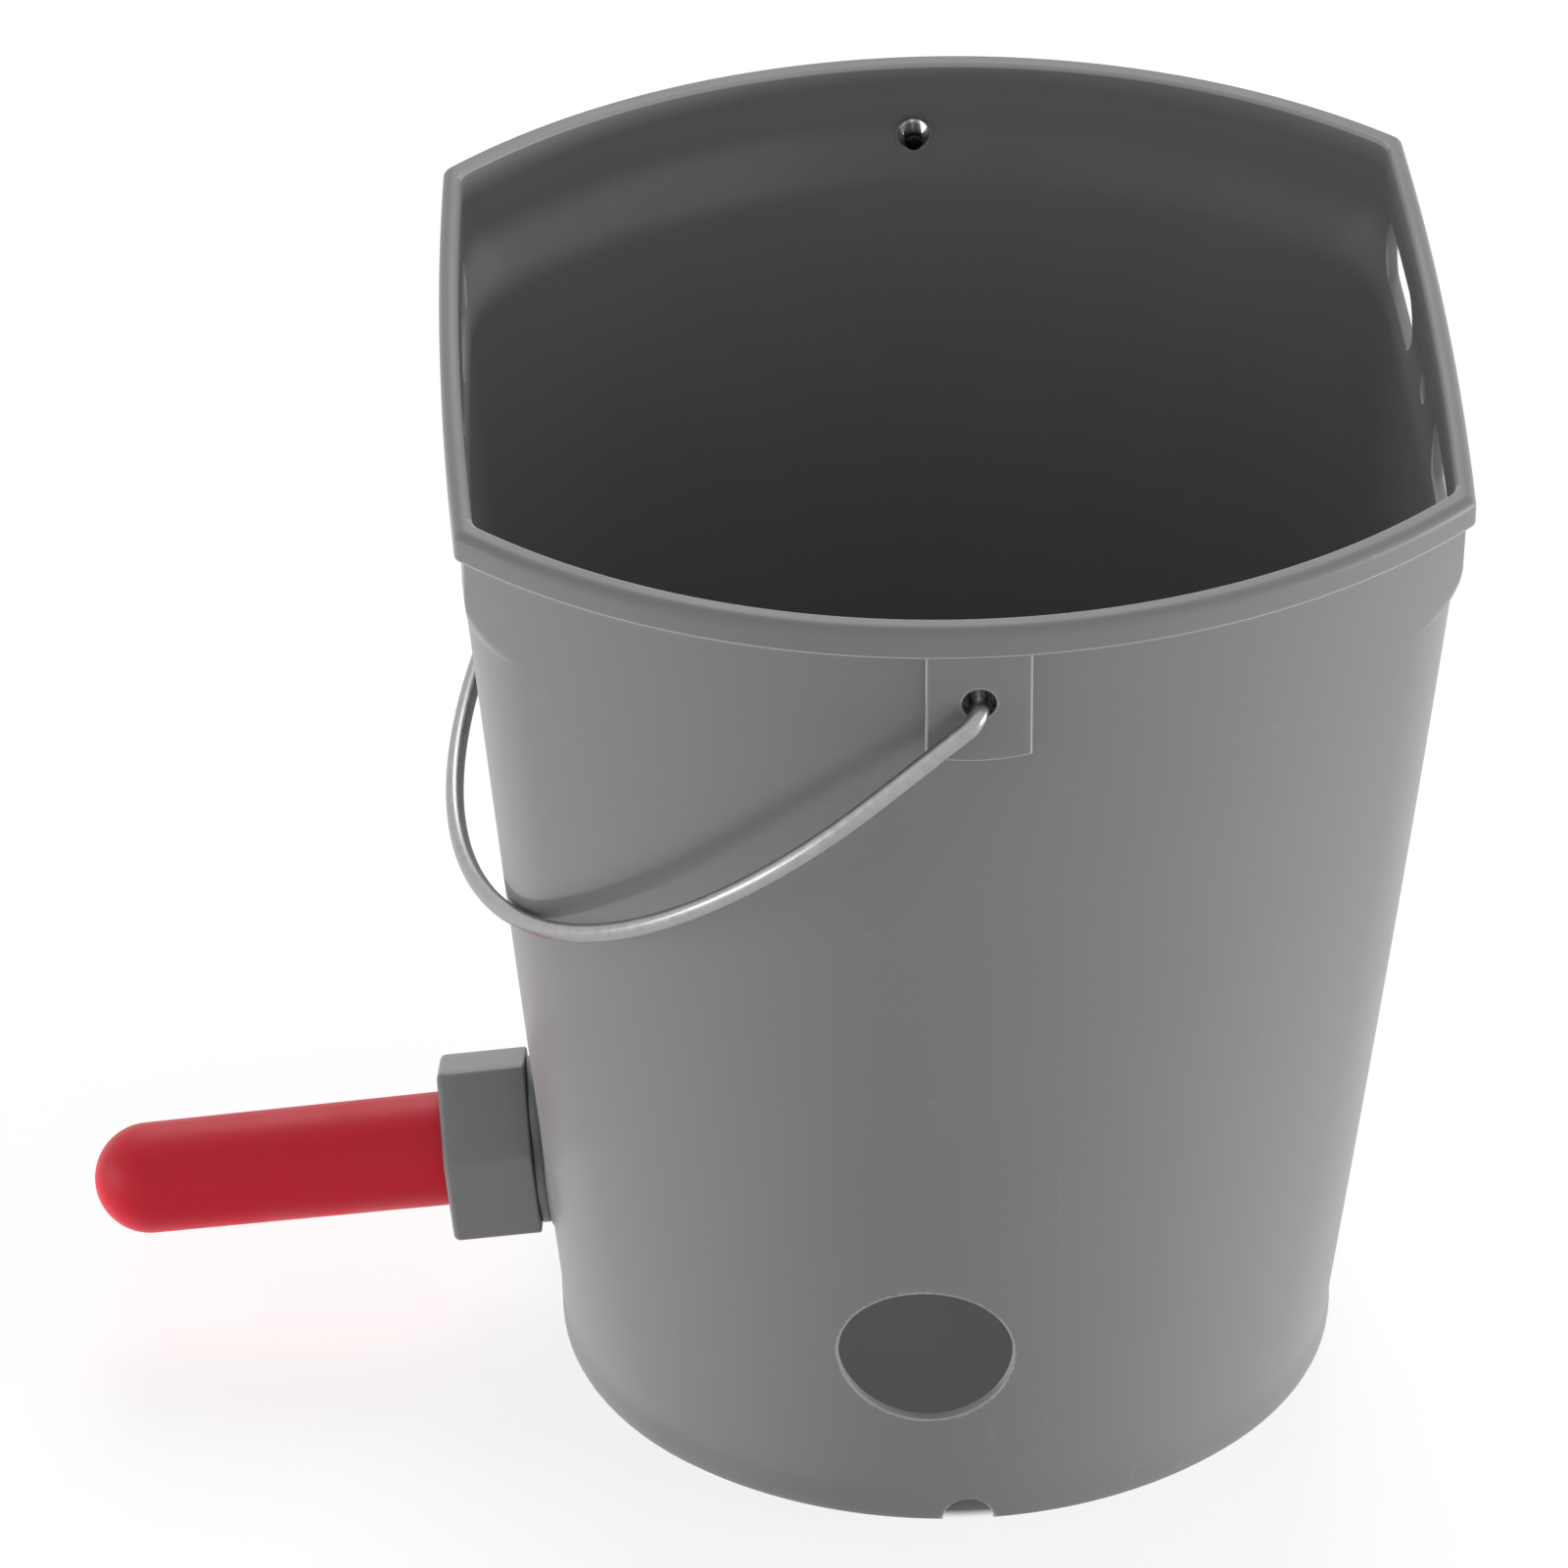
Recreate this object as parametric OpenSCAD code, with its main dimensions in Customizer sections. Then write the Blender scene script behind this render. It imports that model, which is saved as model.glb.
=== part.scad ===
// Calf feeder bucket: moulded shell, wire bail, valve with union nut, rubber teat.
// Millimetres, +Z up, origin on the ground at the centre of the foot ring.
// The teat points to -X. The bail pivots on a line along Y through both ears.

/* [Bucket shell] */
// Overall height, ground to rim top
height = 268; // [262:1:276]
// Foot, half width between the flat sides
foot_half_w = 91.2; // [88:0.2:94]
// Foot, half depth between the round sides
foot_half_d = 94.5; // [91:0.5:98]
// Rim, half width between the flat sides
rim_half_w = 113; // [110:0.5:115]
// Rim, half depth between the round sides
rim_half_d = 121; // [118:0.5:124]
// Wall thickness
wall_t = 2.5; // [2.2:0.1:3]
// Bow radius of the flat sides
side_r = 1464; // [1000:1:3000]
// Radius of the round sides at the foot
foot_front_r = 98; // [92:1:104]
// Radius of the round sides at the rim
rim_front_r = 160.7; // [150:0.1:170]
// How late the round sides open towards the rim radius, 1 being evenly
front_growth = 1.2; // [1:0.05:1.5]
// Corner radius at the foot
foot_corner_r = 78; // [60:1:84]
// Corner radius at the shoulder
shoulder_corner_r = 33; // [28:1:38]
// Corner radius outside the rim
rim_corner_r = 3; // [2.5:0.1:5]
// Corner radius inside the rim
inner_corner_r = 6; // [4:0.5:9]

/* [Rim and foot] */
// Rim band height
rim_h = 7; // [6:0.2:8]
// How far the rim stands out from the wall
rim_overhang = 2; // [1.6:0.1:2.5]
// Rim width on the flat sides
rim_side_w = 4.4; // [4.2:0.1:4.6]
// Rim width on the round sides
rim_front_w = 5.6; // [5:0.1:6]
// Drop of the rounded rim top towards the outside
rim_drop = 2.6; // [2:0.1:3.2]
// Width of the rounded rim top
rim_round = 2.8; // [2.2:0.1:3]
// Rounding of the inner rim edge
rim_edge = 1.1; // [0.8:0.1:1.2]
// Upright collar below the rim
collar_h = 14; // [12:0.5:16]
// Height over which the corners flare out to the collar
flare_h = 12; // [10:0.5:14]
// Foot ring height
foot_h = 7; // [5:0.5:9]
// How far the foot ring stands out
foot_lip = 0.9; // [0.6:0.1:1.4]

/* [Floor] */
// Level of the valley floor at the valve
valley_z = 20.5; // [19:0.5:21]
// Slope of the valley line, in degrees, down to the valve
valley_tilt = 16.5; // [15.5:0.5:18]
// Slope of both flanks down to the valley line, in degrees
flank_tilt = 21.5; // [20.5:0.5:23]
// Rounding of the valley
valley_r = 45; // [30:1:60]
// Floor thickness
floor_t = 3; // [2.5:0.1:3.5]

/* [Openings in the shell] */
// Hanging slots, length end to end
slot_len = 42; // [36:0.5:46]
// Hanging slots, width
slot_w = 14; // [11:0.5:15]
// Distance between the two slot centres of one side
slot_pitch = 85; // [80:0.5:90]
// Slot centre line below the rim top
slot_drop = 20; // [19:0.5:21]
// Round hole between the slots, diameter
peg_d = 7.8; // [6:0.1:10]
// Grip hole in the skirt, diameter
grip_d = 40; // [36:0.5:40]
// Grip hole centre, towards the teat
grip_x = -10; // [-12:0.5:-6]
// Grip hole centre height
grip_z = 52; // [49:0.5:52]
// Half-round notches in the foot ring, radius
notch_r = 5.9; // [4:0.1:8]

/* [Ears] */
// Ear pad width
ear_w = 23; // [20:0.5:28]
// Ear pad height below the rim band
ear_h = 27; // [25:0.5:30]
// Ear pad, sink of its face behind the rim face
ear_sink = 0.3; // [0.2:0.1:1]
// Ear pad, radius of the bowed lower edge
ear_edge_r = 60; // [40:1:120]
// Bail hole diameter
ear_hole_d = 7.3; // [6.5:0.1:8]
// Bail hole centre below the rim top
ear_drop = 19; // [17:0.5:21]

/* [Bail] */
// Wire diameter
wire_d = 4.2; // [3.8:0.1:4.4]
// Gap between bail leg and rim
bail_gap = 1.9; // [1.2:0.1:3]
// Straight leg below the pivot
bail_leg = 29; // [26:0.5:32]
// Bend radius of the hooks, wire centre line
bail_bend_r = 4; // [3.2:0.1:4.5]
// Length of the hook inside the wall
bail_tail = 2.4; // [1.5:0.1:6]
// Gap under the wire in the ear hole, and from wire to wall at rest
bail_rest_gap = 0.35; // [0.3:0.05:0.8]

/* [Valve] */
// Height of the valve axis at the outer wall
valve_z = 43; // [42:0.5:45]
// Valve seat on the wall, diameter
boss_d = 42; // [40:0.5:44]
// How far the seat stands out from the flat wall
boss_h = 0.6; // [0.4:0.1:1.2]
// Depth of the spot face inside the wall
spot_depth = 0.4; // [0.3:0.1:0.6]
// Valve body flange, diameter
flange_d = 40; // [37:0.5:40]
// Valve body flange, thickness
flange_t = 2.4; // [2:0.1:3]
// Outer thread for the union nut, diameter
head_d = 35; // [34:0.1:35.4]
// Outer thread length
head_len = 13.5; // [12.5:0.1:14.5]
// Inner thread through the wall, diameter
tail_d = 24; // [23:0.1:25]
// Gap of a thread on its nut, radial
thread_gap = 0.05; // [0.02:0.01:0.1]
// Wall hole clearance on the inner thread, radial
hole_gap = 0.3; // [0.3:0.1:0.6]
// Gasket thickness
gasket_t = 2; // [1.5:0.1:2.5]
// Gasket diameter
gasket_d = 34; // [31:0.5:36]
// Lock nut, across flats
lock_af = 32; // [30:0.5:32]
// Lock nut thickness
lock_t = 5; // [4:0.1:5.5]
// Inner thread beyond the lock nut
tail_spare = 1.2; // [0.8:0.1:1.8]
// Check ball diameter
ball_d = 13; // [12:0.1:13.5]
// Gap round the check ball
ball_gap = 0.35; // [0.3:0.05:0.5]
// Seat hole diameter as a share of the ball
seat_share = 0.74; // [0.7:0.01:0.8]
// Depth of the ball seat behind the outer wall face
seat_s = -3; // [-4:0.1:-2.4]
// Flow groove width
groove_w = 4.5; // [4:0.1:5]
// Flow groove depth beside the ball
groove_depth = 2.6; // [2:0.1:3]
// Ball cage, diameter
cage_d = 22; // [21:0.1:23]
// Ball cage, thickness
cage_t = 2.5; // [2:0.1:3]
// Ball cage, ring width
cage_ring = 2.4; // [2:0.1:2.8]
// Ball cage, bar width
cage_bar = 2.4; // [2:0.1:3]

/* [Union nut] */
// Across flats
nut_af = 41; // [40.5:0.1:43]
// Length
nut_len = 21; // [20.5:0.1:22]
// Rounding of the long edges
nut_corner_r = 2.2; // [1.5:0.1:3]
// Rounding of the end edges
nut_edge_r = 1.6; // [1:0.1:2]
// Turn of the nut as left by the hand
nut_turn = -4; // [-30:0.05:30]
// Gap between nut and valve flange
nut_gap = 0.1; // [0.05:0.05:0.5]
// Gap between nut and teat, radial
teat_gap = 0.3; // [0.3:0.05:0.6]
// Gap between the nut shoulder and the teat flange
shoulder_gap = 0.05; // [0.02:0.01:0.1]

/* [Teat] */
// Diameter at the nut
teat_d = 27.3; // [26:0.1:28]
// Diameter before the round tip
teat_tip_d = 26.5; // [25:0.1:27]
// Overall length with its flange
teat_len = 92.1; // [85:0.1:100]
// Flange diameter
teat_flange_d = 33.6; // [32.5:0.1:33.8]
// Flange thickness
teat_flange_t = 3; // [2.5:0.1:3.2]
// Rubber wall thickness
teat_wall = 3.9; // [3.2:0.1:4.2]
// Drinking hole at the tip
teat_hole_d = 1.8; // [1.2:0.1:2.5]

/* [Hidden] */
$fn = 96;

side_steps = 4;
corner_steps = 6;
front_steps = 12;
wall_steps = 8;
flare_steps = 4;
round_steps = 5;
cut = 1;

rim_z = height - rim_h;
collar_z = rim_z - collar_h;
shoulder_z = collar_z - flare_h;
reach = 2.2 * rim_half_w;

// Plan outlines: each quarter is a side arc, a corner arc and a front arc, all tangent.
function arc(centre, r, from, to, steps, first) =
    [for (i = [first : steps])
        let (a = from + (to - from) * i / steps)
        [centre[0] + r * cos(a), centre[1] + r * sin(a)]];

// [side centre x, front centre y, corner centre x, corner centre y, angle a, angle b]
function tangency(hw, hd, sr, fr, cr) =
    let (s = hw - sr,
         f = hd - fr,
         d = norm([s, f]),
         along = (pow(sr - cr, 2) - pow(fr - cr, 2) + d * d) / (2 * d),
         off = sqrt(max(0, pow(sr - cr, 2) - along * along)),
         cx = s - along * s / d - off * f / d,
         cy = along * f / d - off * s / d)
    [s, f, cx, cy, atan2(cy, cx - s), atan2(cy - f, cx)];

function quarter(hw, hd, sr, fr, cr) =
    let (t = tangency(hw, hd, sr, fr, cr))
    concat(arc([t[0], 0], sr, 0, t[4], side_steps, 0),
           arc([t[2], t[3]], cr, t[4], t[5], corner_steps, 1),
           arc([0, t[1]], fr, t[5], 90, front_steps, 1));

function closed(q) =
    let (n = len(q))
    concat(q,
           [for (i = [n - 2 : -1 : 0]) [-q[i][0], q[i][1]]],
           [for (i = [1 : n - 1]) [-q[i][0], -q[i][1]]],
           [for (i = [n - 2 : -1 : 1]) [q[i][0], -q[i][1]]]);

// Wall sizes by height: a straight taper, with the corners drawn out above the shoulder.
function blend(a, b, t) = a + (b - a) * t;
function flare(z) = sin(90 * min(1, max(0, (z - shoulder_z) / flare_h)));
function wall_half_w(z) =
    blend(foot_half_w, rim_half_w - rim_overhang, min(1, z / collar_z));
function wall_half_d(z) =
    blend(foot_half_d, rim_half_d - rim_overhang, min(1, z / rim_z));
function wall_front_r(z) =
    blend(foot_front_r, rim_front_r - rim_overhang, pow(min(1, max(0, z / rim_z)), front_growth));
function wall_corner_r(z) =
    blend(blend(shoulder_corner_r, foot_corner_r, pow(1 - min(1, z / shoulder_z), 2)),
          rim_corner_r - rim_overhang, flare(z));

function wall_ring(z, out, least_r) =
    closed(quarter(wall_half_w(z) + out, wall_half_d(z) + out, side_r + out,
                   wall_front_r(z) + out, max(least_r, wall_corner_r(z) + out)));
function rim_ring(out_w, out_d, corner) =
    closed(quarter(rim_half_w + out_w, rim_half_d + out_d, side_r + out_w,
                   rim_front_r + out_d, corner));
function wall_level(i) = blend(foot_h, shoulder_z, i / wall_steps);
function flare_level(i) = blend(shoulder_z, collar_z, i / flare_steps);

// Solid through a stack of [height, outline] sections with equal point counts.
module loft(sections) {
    count = len(sections[0][1]);
    last = len(sections) - 1;
    points = [for (s = sections) for (p = s[1]) [p[0], p[1], s[0]]];
    sides = [for (k = [0 : last - 1]) for (i = [0 : count - 1])
        let (j = (i + 1) % count, low = k * count, high = low + count)
        each [[low + i, high + i, low + j], [low + j, high + i, high + j]]];
    bottom = [for (i = [0 : count - 1]) i];
    top = [for (i = [count - 1 : -1 : 0]) last * count + i];
    polyhedron(points, concat([bottom, top], sides));
}

module shell_outside() {
    foot_round = 0.6;
    foot_step = 0.8;
    lip_edge = 0.4;
    loft(concat(
        [[0, wall_ring(0, foot_lip - foot_round, 1)],
         [foot_round, wall_ring(foot_round, foot_lip, 1)],
         [foot_h - foot_step, wall_ring(foot_h - foot_step, foot_lip, 1)]],
        [for (i = [0 : wall_steps]) [wall_level(i), wall_ring(wall_level(i), 0, 1)]],
        [for (i = [1 : flare_steps]) [flare_level(i), wall_ring(flare_level(i), 0, 1)]],
        [[rim_z, wall_ring(rim_z, 0, 1)],
         [rim_z, rim_ring(-lip_edge, -lip_edge, rim_corner_r)],
         [rim_z + lip_edge, rim_ring(0, 0, rim_corner_r)]],
        [for (i = [0 : round_steps])
            let (a = 90 * i / round_steps,
                 out = -rim_round * (1 - cos(a)))
            [height - rim_drop * (1 - sin(a)), rim_ring(out, out, rim_corner_r)]]));
}

module shell_inside() {
    step = 1.2;
    loft(concat(
        [[-cut, wall_ring(-cut, -wall_t, inner_corner_r)]],
        [for (i = [0 : wall_steps])
            [wall_level(i), wall_ring(wall_level(i), -wall_t, inner_corner_r)]],
        [for (i = [1 : flare_steps])
            [flare_level(i), wall_ring(flare_level(i), -wall_t, inner_corner_r)]],
        [[rim_z - step, wall_ring(rim_z - step, -wall_t, inner_corner_r)]],
        [[rim_z, rim_ring(-rim_side_w, -rim_front_w, inner_corner_r)]],
        [for (i = [0 : round_steps])
            let (a = 90 * i / round_steps, out = rim_edge * (1 - cos(a)))
            [height - rim_edge * (1 - sin(a)),
             rim_ring(out - rim_side_w, out - rim_front_w, inner_corner_r)]],
        [[height + cut, rim_ring(rim_edge - rim_side_w, rim_edge - rim_front_w,
                                 inner_corner_r)]]));
}

// Valley floor: a rounded trough that falls towards the valve, open skirt below it.
// Profile from the middle outwards, at a depth below the floor's upper face.
function valley_side(depth) =
    let (r = valley_r + depth)
    concat([for (i = [0 : round_steps])
                let (a = flank_tilt * i / round_steps)
                [r * sin(a), valley_r - r * cos(a)]],
           [[reach, valley_r - r * cos(flank_tilt)
                    + (reach - r * sin(flank_tilt)) * tan(flank_tilt)]]);

module trough(depth, edge) {
    side = valley_side(depth);
    last = len(side) - 1;
    translate([-foot_half_w, 0, valley_z])
        rotate([0, -valley_tilt, 0])
            translate([-reach, 0, 0])
                rotate([90, 0, 90])
                    linear_extrude(3 * reach)
                        polygon(concat([[reach, edge], [-reach, edge]],
                                       [for (i = [last : -1 : 1]) [-side[i][0], side[i][1]]],
                                       side));
}

// Ear pads, flush with the rim face, front and back.
ear_z = height - ear_drop;
module ear_pad() {
    low = rim_z - ear_h;
    inside = rim_half_d - rim_front_w - wall_t;
    intersection() {
        translate([0, rim_half_d - rim_front_r, low - cut])
            cylinder(r = rim_front_r - ear_sink, h = ear_h + 2 * cut);
        translate([0, inside, 0])
            rotate([-90, 0, 0])
                mirror([0, 1, 0])
                    linear_extrude(rim_half_d - inside)
                        intersection() {
                            translate([-ear_w / 2, low])
                                square([ear_w, ear_h + cut]);
                            translate([0, low + ear_edge_r])
                                circle(ear_edge_r);
                        }
    }
}

// Hanging slots and the round hole between them, drilled along X through a flat side.
slot_z = height - slot_drop;
module side_holes() {
    depth = 6 * wall_t;
    translate([rim_half_w - depth / 2, 0, slot_z])
        rotate([0, 90, 0]) {
            for (side = [-1, 1])
                translate([0, side * slot_pitch / 2, 0]) {
                    for (end = [-1, 1])
                        translate([0, end * (slot_len - slot_w) / 2, 0])
                            cylinder(d = slot_w, h = depth, center = true);
                    cube([slot_w, slot_len - slot_w, depth], center = true);
                }
            cylinder(d = peg_d, h = depth, center = true);
        }
}

module along_y(d, h) {
    rotate([90, 0, 0])
        cylinder(d = d, h = h, center = true);
}

// Valve frame: origin on the outer wall face, +Z out of the bucket, +X upwards.
valve_tilt = atan((rim_half_w - rim_overhang - foot_half_w) / collar_z);
module at_valve(s = 0) {
    translate([-wall_half_w(valve_z), 0, valve_z])
        rotate([0, -90 - valve_tilt, 0])
            translate([0, 0, s])
                children();
}

seat_in = spot_depth - wall_t;
gasket_s = seat_in - gasket_t;
lock_s = gasket_s - lock_t;
tail_s = lock_s - tail_spare;
flange_s = boss_h;
head_s = flange_s + flange_t;
mouth_s = head_s + head_len;
cage_s = mouth_s - cage_t;
nut_s = head_s + nut_gap;
shoulder_s = mouth_s + teat_flange_t + shoulder_gap;
nut_end_s = nut_s + nut_len;

module bucket() {
    skin = 3 * wall_t;
    grip_inside = wall_t - sqrt(pow(foot_front_r, 2) - pow(grip_d / 2 - grip_x, 2))
                  + foot_front_r - foot_half_d;
    grip_depth = 8 * wall_t;
    color([0.50, 0.51, 0.52])
        difference() {
            union() {
                shell_outside();
                ear_pad();
                mirror([0, 1, 0])
                    ear_pad();
                at_valve(seat_in - cut)
                    cylinder(d = boss_d, h = boss_h - seat_in + cut);
            }
            intersection() {
                shell_inside();
                union() {
                    trough(0, 2 * height);
                    trough(floor_t, -height);
                }
            }
            side_holes();
            mirror([1, 0, 0])
                side_holes();
            for (side = [-1, 1])
                translate([0, side * (rim_half_d - wall_t), ear_z])
                    along_y(ear_hole_d, 2 * skin);
            translate([grip_x, grip_inside - grip_depth / 2, grip_z])
                along_y(grip_d, grip_depth);
            for (side = [-1, 1])
                translate([0, side * foot_half_d, 0])
                    along_y(2 * notch_r, 2 * skin);
            at_valve(seat_in - wall_t)
                cylinder(d = tail_d + 2 * hole_gap, h = 2 * skin);
            at_valve(seat_in - skin)
                cylinder(d = gasket_d + 2, h = skin);
        }
}

// Bail: two hooks, two straight legs and a half circle of round wire.
wire_r = wire_d / 2;
bail_half_w = rim_half_d + bail_gap + wire_r;
pivot_z = ear_z - ear_hole_d / 2 + wire_r + bail_rest_gap;
hook_end = rim_half_d - rim_front_w - bail_tail;

// Distance from the wire centre line to the wall, at one point of the hanging loop.
function loop_gap(tilt, t) =
    let (y = bail_half_w * sin(t),
         v = bail_leg + bail_half_w * cos(t),
         z = pivot_z - v * cos(tilt),
         c = tangency(wall_half_w(z), wall_half_d(z), side_r, wall_front_r(z),
                      max(1, wall_corner_r(z))),
         side = side_r * sin(c[4]),
         front = c[1] + wall_front_r(z) * sin(c[5]),
         lean = y < side ? asin(y / side_r)
              : y < front ? asin((y - c[3]) / max(1, wall_corner_r(z)))
              : asin(min(1, (y - c[1]) / wall_front_r(z))),
         x = y < side ? c[0] + side_r * cos(lean)
           : y < front ? c[2] + max(1, wall_corner_r(z)) * cos(lean)
           : wall_front_r(z) * cos(lean))
    (v * sin(tilt) - x) * cos(lean);
function loop_clear(tilt) =
    min([for (t = [0 : 3 : 54]) loop_gap(tilt, t)]) > wire_r + bail_rest_gap;
function lean_on_wall(low, high, n) =
    n == 0 ? high
           : let (mid = (low + high) / 2)
             loop_clear(mid) ? lean_on_wall(low, mid, n - 1) : lean_on_wall(mid, high, n - 1);
lean_least = 30;
lean_most = 70;
lean_halvings = 10;
bail_rest = lean_on_wall(lean_least, lean_most, lean_halvings);

module bail() {
    color([0.66, 0.67, 0.68])
        translate([0, 0, pivot_z])
            rotate([0, bail_rest, 0])
                rotate([90, 0, 90]) {
                    translate([0, -bail_leg, 0])
                        rotate([0, 0, 180])
                            rotate_extrude(angle = 180)
                                translate([bail_half_w, 0])
                                    circle(wire_r);
                    for (side = [0, 1])
                        mirror([side, 0, 0]) {
                            translate([bail_half_w, -bail_leg, 0])
                                rotate([-90, 0, 0])
                                    cylinder(r = wire_r, h = bail_leg - bail_bend_r);
                            translate([bail_half_w - bail_bend_r, -bail_bend_r, 0])
                                rotate_extrude(angle = 90)
                                    translate([bail_bend_r, 0])
                                        circle(wire_r);
                            translate([hook_end, 0, 0])
                                rotate([0, 90, 0])
                                    cylinder(r = wire_r,
                                             h = bail_half_w - bail_bend_r - hook_end);
                        }
                }
}

// Valve: the body comes in from outside, a gasket and a lock nut hold it inside.
ball_r = ball_d / 2;
chamber_r = ball_r + ball_gap;
module valve_body() {
    seat_r = ball_r * seat_share;
    groove_s = seat_s + chamber_r / 2;
    groove_r = chamber_r + groove_depth;
    color([0.40, 0.41, 0.42])
        at_valve()
            difference() {
                rotate_extrude()
                    polygon([[seat_r, tail_s], [tail_d / 2, tail_s],
                             [tail_d / 2, flange_s], [flange_d / 2, flange_s],
                             [flange_d / 2, head_s], [head_d / 2, head_s],
                             [head_d / 2, mouth_s], [cage_d / 2, mouth_s],
                             [cage_d / 2, cage_s], [chamber_r, cage_s],
                             [chamber_r, seat_s], [seat_r, seat_s]]);
                for (turn = [0, 90])
                    rotate([0, 0, turn])
                        translate([-groove_r, -groove_w / 2, groove_s])
                            cube([2 * groove_r, groove_w, mouth_s - seat_s]);
            }
}

module wall_gasket() {
    color([0.12, 0.12, 0.12])
        at_valve(gasket_s)
            difference() {
                cylinder(d = gasket_d, h = gasket_t);
                translate([0, 0, -cut])
                    cylinder(r = tail_d / 2 + thread_gap, h = gasket_t + 2 * cut);
            }
}

// Six-sided outline with rounded corners, taken in by an inset all round.
function six_sides(af, corner, inset) =
    let (r = max(0.3, corner - inset), reach_r = (af / 2 - inset - r) / cos(30))
    [for (k = [0 : 5]) for (i = [0 : 4])
        let (a = 60 * k + 15 * i - 30)
        [reach_r * cos(60 * k) + r * cos(a), reach_r * sin(60 * k) + r * sin(a)]];

function nut_end(z, way, af, corner, edge) =
    [for (i = [0 : round_steps])
        let (a = way > 0 ? 90 * i / round_steps : 90 - 90 * i / round_steps)
        [z - way * edge * (1 - sin(a)), six_sides(af, corner, edge * (1 - cos(a)))]];

module lock_nut() {
    corner = 1.5;
    edge = 0.6;
    color([0.46, 0.47, 0.48])
        at_valve(lock_s)
            difference() {
                loft(concat(nut_end(0, -1, lock_af, corner, edge),
                            nut_end(lock_t, 1, lock_af, corner, edge)));
                translate([0, 0, -cut])
                    cylinder(r = tail_d / 2 + thread_gap, h = lock_t + 2 * cut);
            }
}

module ball_cage() {
    seat = cage_d - 2 * thread_gap;
    quarter_w = seat / 2;
    color([0.70, 0.70, 0.68])
        at_valve(cage_s)
            difference() {
                cylinder(d = seat, h = cage_t);
                intersection() {
                    translate([0, 0, -cut])
                        cylinder(d = seat - 2 * cage_ring, h = cage_t + 2 * cut);
                    for (turn = [45 : 90 : 315])
                        rotate([0, 0, turn])
                            translate([cage_bar / 2, cage_bar / 2, -2 * cut])
                                cube([quarter_w, quarter_w, cage_t + 4 * cut]);
                }
            }
}

module check_ball() {
    color([0.85, 0.85, 0.82])
        at_valve(cage_s - ball_r - ball_gap)
            sphere(ball_r);
}

module union_nut() {
    inner_edge = 0.6;
    color([0.42, 0.43, 0.44])
        at_valve()
            difference() {
                rotate([0, 0, nut_turn])
                    loft(concat(nut_end(nut_s, -1, nut_af, nut_corner_r, inner_edge),
                                nut_end(nut_end_s, 1, nut_af, nut_corner_r, nut_edge_r)));
                translate([0, 0, nut_s - cut])
                    cylinder(r = head_d / 2 + thread_gap, h = shoulder_s - nut_s + cut);
                translate([0, 0, nut_s])
                    cylinder(r = teat_d / 2 + teat_gap, h = nut_len + cut);
            }
}

module teat() {
    base_r = teat_d / 2;
    tip_r = teat_tip_d / 2;
    tip_s = mouth_s + teat_len - tip_r;
    bore_r = tip_r - teat_wall;
    color([0.72, 0.16, 0.20])
        at_valve()
            difference() {
                union() {
                    translate([0, 0, mouth_s])
                        cylinder(d = teat_flange_d, h = teat_flange_t);
                    translate([0, 0, mouth_s])
                        cylinder(r1 = base_r, r2 = tip_r, h = tip_s - mouth_s);
                    translate([0, 0, tip_s])
                        sphere(tip_r);
                }
                translate([0, 0, mouth_s - cut])
                    cylinder(r = bore_r, h = tip_s - mouth_s + cut);
                translate([0, 0, tip_s])
                    sphere(bore_r);
                translate([0, 0, tip_s])
                    cylinder(d = teat_hole_d, h = tip_r + cut);
            }
}

bucket();
bail();
valve_body();
wall_gasket();
lock_nut();
ball_cage();
check_ball();
union_nut();
teat();
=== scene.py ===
import math

import bmesh
import bpy
import numpy as np
from mathutils import Matrix, Vector


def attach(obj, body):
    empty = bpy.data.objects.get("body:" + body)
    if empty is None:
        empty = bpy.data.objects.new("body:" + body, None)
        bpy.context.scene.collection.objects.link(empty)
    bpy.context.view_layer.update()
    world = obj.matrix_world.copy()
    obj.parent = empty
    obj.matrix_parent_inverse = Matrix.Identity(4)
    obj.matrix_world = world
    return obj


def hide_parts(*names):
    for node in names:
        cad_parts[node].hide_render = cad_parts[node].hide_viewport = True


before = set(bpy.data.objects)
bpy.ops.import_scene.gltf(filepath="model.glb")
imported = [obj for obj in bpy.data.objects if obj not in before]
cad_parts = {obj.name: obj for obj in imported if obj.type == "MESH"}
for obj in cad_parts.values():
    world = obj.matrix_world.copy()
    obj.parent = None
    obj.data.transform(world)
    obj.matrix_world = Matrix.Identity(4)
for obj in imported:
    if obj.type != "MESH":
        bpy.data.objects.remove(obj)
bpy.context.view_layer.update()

# Bucket shell.
# One grey polypropylene moulding: round at the foot, flat on both short sides at the rim.
# The tool gives it the rolled rim, two ear pads, the slots, the valley floor and the skirt;
# the round holes are punched afterwards, and a pale ring painted round each is a painted
# highlight on its edge.
MM = 0.001
HEIGHT = 268.0
RIM_Z = 261.0
COLLAR_Z = 247.0
SHOULDER_Z = 235.0
FOOT_FADE = 10.0
FOOT_HALF = (91.2, 94.5)
RIM_HALF = (113.0, 121.0)
OVERHANG = 2.0
FOOT_LIP = 0.9
WALL = 2.5
SLOT_WALL = 2.8
LIP_WALL = 3.54
LIP_Z = 260.4
SIDE_R = 1464.0
FOOT_FRONT_R = 98.0
RIM_FRONT_R = 160.7
FRONT_GROWTH = 1.2
FOOT_CORNER_R = 78.0
SHOULDER_CORNER_R = 33.0
RIM_CORNER_R = 3.0
INNER_CORNER_R = 6.0
RIM_SIDE_W = 4.4
RIM_FRONT_W = 5.6
RIM_DROP = 2.6
RIM_ROUND = 2.8
RIM_EDGE = 1.1


def mix(a, b, t):
    return a + (b - a) * t


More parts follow.
